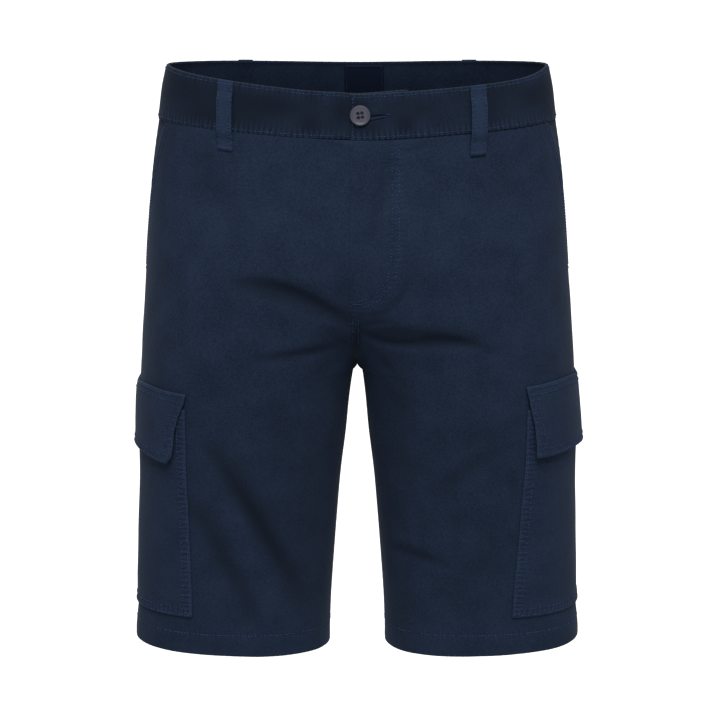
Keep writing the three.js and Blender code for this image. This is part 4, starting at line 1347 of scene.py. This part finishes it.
@dataclass
class LegPatch:
    """A piece of cloth lying on the side of a leg, made from the leg's points moved out."""

    side: Side
    drape: Drape
    kind: str
    table: tuple[PatchRow, ...]
    wall: float
    flat: tuple[float, float]
    area: float
    rests_on: tuple[str, ...]
    row_count: int
    columns: int = 96
    front_comb: float = 0.0
    edge_rows: tuple[float, ...] = (1.6, 7.6)
    open_edge: bool = False
    gathering: float = 0.9
    worn: float = 0.12
    width: float = 196
    comb_wavelength: float = 5.4

    def column(self, name: str, z: Array) -> Array:
        """One column of the table at heights z, in straight steps."""
        heights = [-row.z for row in self.table]
        return np.interp(-z, heights, [getattr(row, name) for row in self.table])

    def grid(self, share: Array, z: Array) -> Array:
        """Turns at shares of the way from the front edge to the back edge."""
        form = self.drape.form
        start = form.turn_at_x(1, z, self.column("front_x", z))
        end = form.turn_at_x(-1, z, self.column("back_x", z))
        return start + (end - start) * share

    def bent(self, share: Array, z: Array) -> Array:
        """True height of a place on a row: the row's arches and its middle bend it up."""
        arch = self.column("arch", z) * np.sin(2 * pi * share) ** 2
        return z + arch + self.column("middle", z) * np.sin(pi * share) ** 2

    def lift(self, share: Array, z: Array) -> tuple[Array, dict[str, Array]]:
        """Lift of the underside above the leg, and the marks on its seams.

        The edges carry gathers: a bell of the distance from the edge times a comb along it.

        Args:
            share: shares of the way across.
            z: heights.

        Returns:
            The lift, and the marks "wear", "gather_across" and "gather_down".
        """
        from_front, from_back = share * self.width, (1 - share) * self.width
        top, low = self.table[0].z, self.table[-1].z
        lift = self.column("lift", z) + self.column("bulge", z) * np.sin(pi * share)
        marks = {key: np.zeros(lift.shape) for key in ("wear", "gather_across", "gather_down")}
        marks["wear"] += 0.7 * bell(top - z, 1.6) + self.worn
        seed = 40 + 3 * self.side.value + len(self.kind)
        between = (self.edge_rows[0] + self.edge_rows[1]) / 2
        for distance, along, height, run in (
                (from_front, z, self.front_comb, "gather_down"),
                (from_back, z, 0.7 * self.front_comb, "gather_down"),
                (z - low + 0 * share, share * self.width, 0.6 * self.front_comb, "gather_across")):
            comb = pucker(along, self.comb_wavelength, seed)
            near = bell(distance, 8.0) * ramp(distance, 0.0, 1.5)
            lift = lift + height * near * (0.5 + 0.5 * comb)
            marks["wear"] += bell(distance, 1.6) * (height > 0)
            marks[run] += self.gathering * bell(distance - between, 5.0)
            seed += 1
        lift = lift + 0.35 * (1 + smooth_noise(share * 5, z / 40, seed)) * ramp(
            np.minimum(from_front, z - low), 6, 30) * (top - z > 4)
        return lift, {key: np.clip(values, 0, 1) for key, values in marks.items()}

    def place(self, share: Array, z: Array, above: float) -> Array:
        """Points at a height above the patch's underside."""
        lift, _ = self.lift(share, z)
        turns, height = self.grid(share, z), self.bent(share, z)
        return self.drape.place(self.side.value, turns, height, lift + above)

    def build(self, wardrobe: Wardrobe) -> None:
        top, low = self.table[0].z, self.table[-1].z
        edge = np.array([0, 0.004, 0.009, 0.016])
        share = np.concatenate([edge, np.linspace(0.022, 0.978, self.columns), 1 - edge[::-1]])
        z = np.concatenate([[top, top - 0.8], np.linspace(top - 2, low + 2, self.row_count),
                            [low + 0.8, low]])[:, None]
        share = share[None, :] + 0 * z
        z = z + 0 * share
        lift, seams = self.lift(share, z)
        turns, height = self.grid(share, z), self.bent(share, z)
        inner = self.drape.place(self.side.value, turns, height, lift)
        outer = self.drape.place(self.side.value, turns, height, lift + self.wall)
        marks = self.drape.marks(self.side.value, turns, height)
        # Patches carry a weaker painted shade of the creases under them.
        marks = {"painted_shade": 0.3 * marks["painted_shade"], **seams}
        word = self.side.name.lower()
        node = f"{self.kind}_{word}"
        rims = (Rim.FOLDED,) * 4
        piece = cloth_shell(f"{node}_cloth", outer, inner, wardrobe.twill, marks, rims)
        report_cloth(piece, node, self.flat, self.area,
                     [f"{name}_{word}" for name in self.rests_on])
        self.stitch(wardrobe, f"{node}_stitching")

    def stitch(self, wardrobe: Wardrobe, name: str) -> None:
        """Rows of stitches along the edges, at each inset of edge_rows."""
        work = ThreadWork(name)
        top, low = self.table[0].z, self.table[-1].z
        for inset in self.edge_rows:
            share = inset / self.width
            down = np.linspace(top - (0 if self.open_edge else inset), low + inset, 90)
            across = np.linspace(share, 1 - share, 150)
            for shares, heights in ((np.full(down.shape, share), down),
                                    (across, np.full(across.shape, low + inset)),
                                    (np.full(down.shape, 1 - share), down[::-1])):
                self.sew(work, shares, heights)
            if not self.open_edge:
                self.sew(work, across, np.full(across.shape, top - inset))
        work.finish(wardrobe)

    def sew(self, work: ThreadWork, shares: Array, heights: Array) -> None:
        """Sew one row through shares and heights of the patch."""
        path = self.place(shares, heights, self.wall + 0.12)
        turns, height = self.grid(shares, heights), self.bent(shares, heights)
        work.sew(path, self.drape.form.normal(self.side.value, turns, height))


POCKET_ROWS = {
    Side.LEFT: (
        PatchRow(-305, 154, 160.5, 0.3, 0),
        PatchRow(-330, 153.8, 160.5, 0.3, 0),
        PatchRow(-358, 153, 160.5, 0.3, 0.15),
        PatchRow(-390, 150.6, 160.8, 0.3, 0.4),
        PatchRow(-424, 148.5, 160.8, 0.3, 0.5),
        PatchRow(-458, 146.3, 160.6, 0.3, 0.45),
        PatchRow(-486, 144.3, 160.4, 0.3, 0.25),
        PatchRow(-504.5, 143.6, 160, 0.3, 0),
    ),
    Side.RIGHT: (
        PatchRow(-305, 156.2, 158.5, 0.3, 0),
        PatchRow(-330, 156.3, 158, 0.3, 0),
        PatchRow(-358, 156.1, 157.4, 0.3, 0.15),
        PatchRow(-390, 155.2, 156.4, 0.3, 0.4),
        PatchRow(-424, 154.2, 155.2, 0.3, 0.5),
        PatchRow(-458, 153.4, 153.8, 0.3, 0.45),
        PatchRow(-486, 153, 152.4, 0.3, 0.25),
        PatchRow(-504.5, 153, 151.6, 0.3, 0),
    ),
}

FLAP_ROWS = {
    Side.LEFT: (
        PatchRow(-283, 152.5, 159, 0.3, 0, 3, -2.5),
        PatchRow(-293, 154.4, 160, 1.7, 0, 2.8, -2),
        PatchRow(-304, 156.2, 161, 2.5, 0, 2.6, -1.6),
        PatchRow(-319, 159.2, 162, 3.7, 0, 2.2, -1),
        PatchRow(-334, 160.2, 163.5, 5.1, 0, 1.8, -0.4),
        PatchRow(-348.5, 160.2, 165.5, 6.5, 0, 1.5, 0),
    ),
    Side.RIGHT: (
        PatchRow(-290.5, 155, 156.5, 0.3, 0, 3.4, -2.5),
        PatchRow(-300, 157, 157, 1.7, 0, 3.4, -1.6),
        PatchRow(-311, 161.1, 157.6, 2.5, -0.4, 3.3, -0.4),
        PatchRow(-326, 164.6, 158.4, 3.7, -1.2, 3.2, 1.2),
        PatchRow(-341, 165.2, 159.4, 5.1, -2, 3.1, 2.9),
        PatchRow(-350, 166.2, 160.2, 6, -2.4, 3, 3.9),
        PatchRow(-355.5, 170, 160.8, 6.5, -2.5, 3, 4.5),
    ),
}


def cargo_pocket(side: Side, drape: Drape) -> LegPatch:
    """The patch pocket on the side of a leg."""
    return LegPatch(side, drape, "cargo_pocket", POCKET_ROWS[side], 1.4, (0.2, 0.205), 0.039,
                    ("front", "back"), 90, front_comb=0.6, open_edge=True)


def cargo_flap(side: Side, drape: Drape) -> LegPatch:
    """The doubled flap over a cargo pocket's mouth."""
    return LegPatch(side, drape, "cargo_flap", FLAP_ROWS[side], 2.0, (0.2, 0.07), 0.0135,
                    ("front", "back"), 34, front_comb=0.2, edge_rows=(1.8, 7.0),
                    gathering=0.4, worn=0.3)


@dataclass
class Waistband:
    """The waistband: a doubled strip that laps over itself at the fly."""

    drape: Drape
    wall: float = 2.6
    proud: float = 1.0
    underlap_end: float = 45
    underlap_ramp: float = 40
    underlap_rise: float = 1.0
    # Painted shade over the whole band.
    shade: float = 0.75
    slit_start: float = 11.5
    slit_end: float = 24
    slit_down: float = 20.5
    slit_rise: float = 0.9
    flat: tuple[float, float] = (0.92, 0.044)
    area: float = 0.0395

    def stations(self) -> tuple[Array, Array]:
        """Sides and turns from the end at the fly edge, round the back, to the hidden end."""
        form = self.drape.form
        level = np.array(-form.band_height / 2)
        first = float(form.turn_at_x(1, level, np.array(form.fly_edge), pi))
        meet = float(form.turn_at_x(1, level, np.array(-form.fly_edge + 3), pi))
        last = float(form.turn_at_x(1, level, np.array(-self.underlap_end), pi))
        left = np.concatenate([first - np.array([0, 0.004, 0.009]),
                               np.linspace(first - 0.018, -pi / 2, 230)])
        right = np.concatenate([np.linspace(-pi / 2, meet, 230)[1:],
                                np.linspace(meet, last, 26)[1:]])
        sides = np.concatenate([np.ones(len(left)), -np.ones(len(right))])
        return sides, np.concatenate([left, right])

    def surface(self, sides: Array, turns: Array, down: Array, depth: float
                ) -> tuple[Array, Array, Array]:
        """Points of the band at distances below its top edge.

        The outside swells between its edges, gathers along both stitched edges, and steps
        in at the front where the hidden end passes under.

        Args:
            sides: sign of x of each station.
            turns: turn of each station.
            down: distances below the top edge.
            depth: distance inward from the outside.

        Returns:
            Points, normals and wear.
        """
        form = self.drape.form
        level = np.full(turns.shape, -form.band_height / 2)
        base = np.where((sides > 0)[..., None], form.point(1, turns, level),
                        form.point(-1, turns, level))
        x = base[..., 0]
        under = ramp(x, form.fly_edge - 3 - self.underlap_ramp, form.fly_edge - 3)
        under = under * (turns > 0) * (sides < 0)
        top, seam = form.top_drop(sides, turns), form.seam_drop(turns)
        drop = top + (seam - top) * down / form.band_height
        z = -down - drop + self.underlap_rise * under
        point = np.where((sides > 0)[..., None], form.point(1, turns, z),
                         form.point(-1, turns, z))
        normal = np.where((sides > 0)[..., None], form.normal(1, turns, z),
                          form.normal(-1, turns, z))
        around = sides * turns * 130 + 500 * (sides < 0)
        full = 0.45 + 0.6 * ramp(np.minimum(down, 41.96 - down), 0, 2.6)
        lift, wear = self.proud * full, np.zeros(down.shape)
        for distance, height, wavelength, seed in ((down, 0.16, 9.0, 61),
                                                   (41.96 - down, 0.3, 6.6, 62)):
            comb = pucker(around + 0.3 * down, wavelength, seed)
            lift = lift + bell(distance, 6.0) * height * comb
            wear = wear + bell(distance, 5.0) * (0.4 + 0.6 * comb) * height / 0.3
        lift = lift - 0.16 * bell(down - 2.4, 1.0) - 0.2 * bell(down - 39.4, 1.0)
        lift = lift + 0.22 * smooth_noise(around / 28, down / 18, 63)
        lift = lift - (self.wall + 0.3) * under
        slit, lip = self.buttonhole((sides > 0) * (turns > 0), x, down)
        lift = lift - 1.3 * slit + 0.3 * lip
        return point + normal * (lift - depth)[..., None], normal, np.clip(wear, 0, 1)

    def buttonhole(self, front_left: Array, x: Array, down: Array) -> tuple[Array, Array]:
        """The buttonhole beside the button: its slit narrows and rises away from the button.

        Args:
            front_left: 1 for points on the wearer's left front, 0 elsewhere.
            x: x of each point.
            down: distances below the top edge.

        Returns:
            Shares from 0 to 1 of the slit with the groove under it, and of the lip between.
        """
        along = np.clip((x - self.slit_start) / (self.slit_end - self.slit_start), 0, 1)
        where = front_left * ramp(x, self.slit_start - 8, self.slit_start - 5)
        where = where * (1 - ramp(x, self.slit_end - 1, self.slit_end + 1.5))
        middle = self.slit_down - self.slit_rise * along
        slit = bell(down - middle, 1.25 - 0.6 * along)
        groove = 0.6 * bell(down - middle - 4.0 + 1.6 * along, 0.6)
        lip = bell(down - middle - 2.2 + 0.8 * along, 0.8)
        return where * np.maximum(slit, groove), where * lip

    def build(self, wardrobe: Wardrobe) -> None:
        sides, turns = self.stations()
        down = np.concatenate([[0, 0.7, 1.5, 2.4], np.linspace(3.6, 15, 9),
                               np.linspace(15.4, 25, 25), np.linspace(26, 38.2, 10),
                               [39.4, 40.4, 41.2, 41.96]])[:, None]
        down = down + 0 * turns[None, :]
        sides, turns = sides[None, :] + 0 * down, turns[None, :] + 0 * down
        outer, _, wear = self.surface(sides, turns, down, 0)
        inner, _, _ = self.surface(sides, turns, down, self.wall)
        cloud = smooth_noise(sides * turns * 7 + 30, down / 16, 64)
        slit, lip = self.buttonhole((sides > 0) * (turns > 0), outer[..., 0], down)
        # Painted shade over the band in a random cloud of tone, darkest in the buttonhole slit.
        marks = {"wear": 0.6 * wear + 0.8 * lip, "painted_shade": self.shade + 0.3 * cloud + slit,
                 "gather_across": 1.0 * bell(41.96 - down, 7.0) + 0.5 * bell(down, 6.0)}
        rims = (Rim.FOLDED, Rim.FOLDED, Rim.SEAM, Rim.FOLDED)
        piece = cloth_shell("waistband_cloth", outer, inner, wardrobe.twill, marks, rims, True)
        report_cloth(piece, "waistband", self.flat, self.area,
                     ["front_left", "front_right", "back_left", "back_right"])
        self.stitch(wardrobe)

    def stitch(self, wardrobe: Wardrobe) -> None:
        """Rows along both edges outside and one inside, the end row and the buttonhole."""
        sides, turns = self.stations()
        work = ThreadWork("waistband_stitching")
        shown = slice(3, 470)
        for down, depth in ((2.4, -0.1), (39.4, -0.1), (39.4, self.wall + 0.1)):
            path, normal, _ = self.surface(sides[shown], turns[shown],
                                           np.full(turns[shown].shape, down), depth)
            work.sew(path, normal if depth < 0 else -normal)
        end = np.linspace(2.4, 39.4, 30)
        path, normal, _ = self.surface(np.ones(30), np.full(30, turns[3]), end, -0.1)
        work.sew(path, normal)
        self.stitch_buttonhole(work)
        work.finish(wardrobe)

    def stitch_buttonhole(self, work: ThreadWork) -> None:
        """Satin stitches along the lip under the slit, and the bar across its far end."""
        form = self.drape.form
        level = np.array(-form.band_height / 2)
        bead = Stitcher(pitch=1.4, length=1.4, radius=0.28)
        middle = self.slit_down - self.slit_rise
        places = [(x, self.slit_down + 1.7 - 1.4 * (x - 11) / 13, 0.6)
                  for x in np.arange(11.0, 24.0, 0.6)]
        places += [(x, middle - 0.3, 1.0) for x in np.arange(25.0, 28.6, 0.6)]
        for x, down, half in places:
            turn = float(form.turn_at_x(1, level, np.array(x), pi))
            rows = down + np.array([-half, 0, half])
            path, normal, _ = self.surface(np.ones(3), np.full(3, turn), rows, -0.2)
            work.sew(path, normal, bead)


@dataclass
class BeltLoop:
    """A belt loop: a folded strip sewn down at both ends and eased between."""

    side: Side
    face: Face
    x: float
    drape: Drape
    width: float = 14
    length: float = 59.5
    wall: float = 1.6
    ease: float = 1.8
    seat: float = 6
    ramp_length: float = 12
    top: float = -0.3
    flat: tuple[float, float] = (0.0145, 0.062)
    area: float = 0.00085

    def surface(self, share: Array, down: Array, above: float) -> tuple[Array, Array]:
        """Points and normals across the loop's width at distances below the band's top.

        Args:
            share: shares of the width from -0.5 to 0.5.
            down: distances below the band's top edge.
            above: height above the loop's underside.

        Returns:
            Points and normals.
        """
        form, face, side = self.drape.form, self.face.value, self.side.value
        rise = ramp(down, self.seat, self.seat + self.ramp_length)
        low = self.length - self.seat
        rise = rise * (1 - ramp(down, low - self.ramp_length, low))
        middle = form.turn_at_x(face, -down, np.full(down.shape, self.x))
        seam = form.band_height + form.seam_drop(middle) - form.top_drop(side, middle)
        ground = 1.25 * (1 - ramp(down - seam, 1, 9))
        across = self.width * np.abs(form.normal(1, middle, -down)[..., 1])
        turn = form.turn_at_x(face, -down, self.x + share * across)
        z = -down - form.top_drop(side, turn)
        normal = form.normal(side, turn, z)
        crown = 0.25 * (1 - (2 * share) ** 4)
        lift = ground + 0.35 + self.ease * rise + crown + above
        lift = lift + 0.12 * pucker(down, 5.0, 71 + int(self.x)) * np.abs(2 * share)
        return form.point(side, turn, z) + normal * lift[..., None], normal

    def build(self, wardrobe: Wardrobe) -> None:
        share = np.concatenate([[-0.5, -0.475], np.linspace(-0.43, 0.43, 11), [0.475, 0.5]])
        down = self.top + np.linspace(0, self.length, 72)
        share, down = np.broadcast_arrays(share[None, :], down[:, None])
        inner, _ = self.surface(share, down, 0)
        outer, _ = self.surface(share, down, self.wall)
        comb = pucker(down, 5.0, 71 + int(self.x))
        edge = ramp(np.abs(share), 0.2, 0.5)
        marks = {"wear": 0.7 + 0.3 * edge * comb, "gather_down": 0.5 * edge}
        node = f"belt_loop_{self.face.name.lower()}_{self.side.name.lower()}"
        rims = (Rim.FOLDED,) * 4
        piece = cloth_shell(f"{node}_cloth", outer, inner, wardrobe.twill, marks, rims)
        panel = f"{self.face.name.lower()}_{self.side.name.lower()}"
        report_cloth(piece, node, self.flat, self.area, ["waistband", panel])
        work = ThreadWork(f"{node}_stitching")
        down = np.linspace(3, self.length - 2, 60)
        for edge in (-0.36, 0.36):
            work.sew(*self.surface(np.full(60, edge), down, self.wall + 0.12))
        for level in (2.6, self.length - 2.2):
            path, normal = self.surface(np.array([-0.46, 0.46]), np.full(2, level),
                                        self.wall + 0.12)
            work.bartack(path[0], path[1], normal[0], 2.2)
        work.finish(wardrobe)


@dataclass
class FrontButton:
    """The fly's four-hole button with its thread."""

    drape: Drape
    x: float = 2.6
    z: float = -38.2
    radius: float = 9.2
    corners: int = 120
    lift: float = 1.6
    hole_radius: float = 1.4
    hole_place: float = 1.85
    hole_turn: float = 8
    thread_level: float = 0.7

    def frame(self) -> tuple[Array, Array, Array, Array]:
        """Seat of the button's back, and its right, up and outward directions."""
        form = self.drape.form
        turn = form.turn_at_x(1, np.array(self.z), np.array(self.x), pi)
        normal = form.normal(1, turn, np.array(self.z))
        seat = form.point(1, turn, np.array(self.z)) + normal * self.lift
        right = unit(np.cross(np.array([0, 0, 1.0]), normal))
        return seat, right, np.cross(normal, right), normal

    def bored(self, x: Array, y: Array) -> Array:
        """Share of a hole at a place on the face: 1 inside any of the four, 0 outside."""
        share = np.zeros(x.shape)
        for corner in np.array([45, 135, 225, 315]) + self.hole_turn:
            off = self.hole_place * np.sqrt(2)
            hole = np.hypot(x - off * np.cos(radians(corner)), y - off * np.sin(radians(corner)))
            edge = ramp(hole, self.hole_radius - 0.15, self.hole_radius + 0.2)
            share = np.maximum(share, 1 - edge)
        return share

    def height(self, x: Array, y: Array) -> Array:
        """Height of the face: a rounded rim round a dish, with four holes sunk through it."""
        radius = np.hypot(x, y)
        rim = 3.0 - 0.75 * ramp(radius, 7.9, 6.3) - 1.9 * ramp(radius, 8.3, 9.2) ** 2
        return rim - 1.9 * self.bored(x, y)

    def build(self, wardrobe: Wardrobe) -> None:
        """Make the button: rings of the face from the middle out, then round the back."""
        seat, right, up, out = self.frame()
        rings = np.concatenate([np.linspace(0.12, 6.2, 46), np.linspace(6.4, self.radius, 16)])
        angle = 2 * pi * np.arange(self.corners) / self.corners
        face_x = rings[:, None] * np.cos(angle)
        face_y = rings[:, None] * np.sin(angle)
        face_h = self.height(face_x, face_y)
        back = np.array([[self.radius, 0.85], [8.8, 0.3], [8.0, 0.0], [4.0, 0.0], [0.12, 0.0]])
        x = np.concatenate([face_x, back[:, :1] * np.cos(angle)])
        y = np.concatenate([face_y, back[:, :1] * np.sin(angle)])
        h = np.concatenate([face_h, back[:, 1:] + 0 * angle])
        points = (seat + x[..., None] * right + y[..., None] * up
                  + h[..., None] * out).reshape(-1, 3)
        rows = len(x)
        k = np.arange(self.corners)
        first = (np.arange(rows - 1) * self.corners)[:, None]
        a, b = first + k, first + (k + 1) % self.corners
        quads = np.stack([a, a + self.corners, b + self.corners, b], axis=-1).reshape(-1, 4)
        caps = [k[None, :], ((rows - 1) * self.corners + k)[None, ::-1]]
        # The holes' share carries the resin's painted black shade.
        hole = np.concatenate([self.bored(face_x, face_y), 0 * angle + 0 * back[:, :1]])
        piece = mesh_object("button_resin", points, [quads, *caps], wardrobe.resin,
                            marks={"hole": hole})
        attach(piece, "root")
        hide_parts("button")
        LOG.info("button_resin: %d faces", len(piece.data.polygons))
        work = ThreadWork("button_thread")
        thread = Stitcher(pitch=2 * self.hole_place, length=2 * self.hole_place, radius=0.42)
        for level in (-self.hole_place, self.hole_place):
            for offset in (-0.35, 0.35):
                ends = np.array([-self.hole_place, 0, self.hole_place])[:, None]
                line = seat + ends * right + (level + offset) * up + self.thread_level * out
                work.sew(line, np.repeat(out[None, :], 3, axis=0), thread)
        work.finish(wardrobe)


@dataclass
class WaistLabel:
    """A blank woven label sewn inside the back waistband."""

    drape: Drape
    left: float = -11.7
    right: float = 24.5
    top: float = -8
    low: float = -37
    sunk: float = 1.9
    wall: float = 0.8

    def surface(self, x: Array, z: Array, depth: float) -> tuple[Array, Array]:
        """Points and inward normals of the label on the band's inner face."""
        form = self.drape.form
        turn = -pi / 2 + x / form.column("back", z)
        normal = form.normal(1, turn, z)
        return form.point(1, turn, z) - normal * depth, -normal

    def build(self, wardrobe: Wardrobe) -> None:
        """Make the label with folded ends, and tack it down on all four sides."""
        x, z = np.meshgrid(np.linspace(self.left, self.right, 40),
                           np.linspace(self.top, self.low, 32))
        outer, _ = self.surface(x, z, self.sunk + self.wall)
        inner, _ = self.surface(x, z, self.sunk)
        marks = {"wear": 0 * x}
        piece = cloth_shell("label_tape", outer, inner, wardrobe.label, marks, (Rim.FOLDED,) * 4)
        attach(piece, "root")
        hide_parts("label")
        work = ThreadWork("label_stitching")
        fine = Stitcher(pitch=2.2, length=1.7, radius=0.22)
        low_x, high_x = self.left + 1.4, self.right - 1.4
        low_z, high_z = self.low + 1.4, self.top - 1.4
        corners = np.array([[low_x, high_z], [high_x, high_z], [high_x, low_z],
                            [low_x, low_z], [low_x, high_z]])
        for (x1, z1), (x2, z2) in zip(corners[:-1], corners[1:]):
            share = np.linspace(0, 1, 40)
            path, normal = self.surface(x1 + (x2 - x1) * share, z1 + (z2 - z1) * share,
                                        self.sunk + self.wall + 0.3)
            work.sew(path, normal, fine)
        work.finish(wardrobe)
        LOG.info("label_tape: %d faces", len(piece.data.polygons))


@dataclass(frozen=True)
class Studio:
    """Camera at the photograph's viewing angle, soft lights and a pale floor."""

    camera_place: tuple[float, float, float] = (0.0025, -2.4, 0.195)
    pitch: float = 11.11
    lens: float = 130.63
    sensor: float = 36
    floor_z: float = -0.9
    ambient: float = 0.5
    key_strength: float = 3.0
    softness: float = 28
    key_tilt: float = 38
    key_turn: float = 3
    fill_strength: float = 1.4
    fill_tilt: float = -52
    fill_turn: float = 14

    def lamp(self, name: str, strength: float, tilt: float, turn: float) -> None:
        """Add a wide, soft sun.

        Args:
            name: name of the light.
            strength: its energy.
            tilt: degrees from straight down, positive for light from the front.
            turn: degrees round the garment.
        """
        data = bpy.data.lights.new(name, "SUN")
        data.energy = strength
        data.angle = radians(self.softness)
        lamp = bpy.data.objects.new(name, data)
        lamp.rotation_euler = (radians(tilt), 0, radians(turn))
        bpy.context.collection.objects.link(lamp)

    def build(self) -> None:
        """Set up camera, world, floor and lights."""
        data = bpy.data.cameras.new("camera")
        data.lens, data.sensor_width = self.lens, self.sensor
        camera = bpy.data.objects.new("camera", data)
        camera.location = self.camera_place
        camera.rotation_euler = (radians(90 - self.pitch), 0, 0)
        bpy.context.collection.objects.link(camera)
        bpy.context.scene.camera = camera
        world = bpy.data.worlds.new("studio")
        world.use_nodes = True
        world.node_tree.nodes["Background"].inputs["Color"].default_value = (1, 1, 1, 1)
        world.node_tree.nodes["Background"].inputs["Strength"].default_value = self.ambient
        bpy.context.scene.world = world
        bpy.context.scene.view_settings.view_transform = "Standard"
        corners = np.array([[-9, -6, 0], [9, -6, 0], [9, 26, 0], [-9, 26, 0]], float)
        corners[:, 2] = self.floor_z
        floor = mesh_object("floor", corners / METRES, [np.array([[0, 1, 2, 3]])],
                            StudioFloorFinish().material())
        floor.visible_diffuse = False
        self.lamp("key", self.key_strength, self.key_tilt, self.key_turn)
        self.lamp("back_fill", self.fill_strength, self.fill_tilt, self.fill_turn)


def main() -> None:
    """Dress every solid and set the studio."""
    logging.basicConfig(level=logging.INFO, format="%(message)s")
    wardrobe = Wardrobe(TwillFinish().material(), ThreadFinish().material(),
                        ResinFinish().material(), WovenLabelFinish().material())
    drape = Drape()
    for side in Side:
        for face in Face:
            LegPanel(side, face, drape).build(wardrobe)
        MouthFacing(side, drape).build(wardrobe)
        cargo_pocket(side, drape).build(wardrobe)
        cargo_flap(side, drape).build(wardrobe)
    Waistband(drape).build(wardrobe)
    for side, face, x in ((Side.RIGHT, Face.FRONT, 115.2), (Side.LEFT, Face.FRONT, 105),
                          (Side.RIGHT, Face.BACK, 104), (Side.LEFT, Face.BACK, 104)):
        BeltLoop(side, face, x, drape).build(wardrobe)
    FrontButton(drape).build(wardrobe)
    WaistLabel(drape).build(wardrobe)
    Studio().build()


if __name__ == "__main__":
    main()
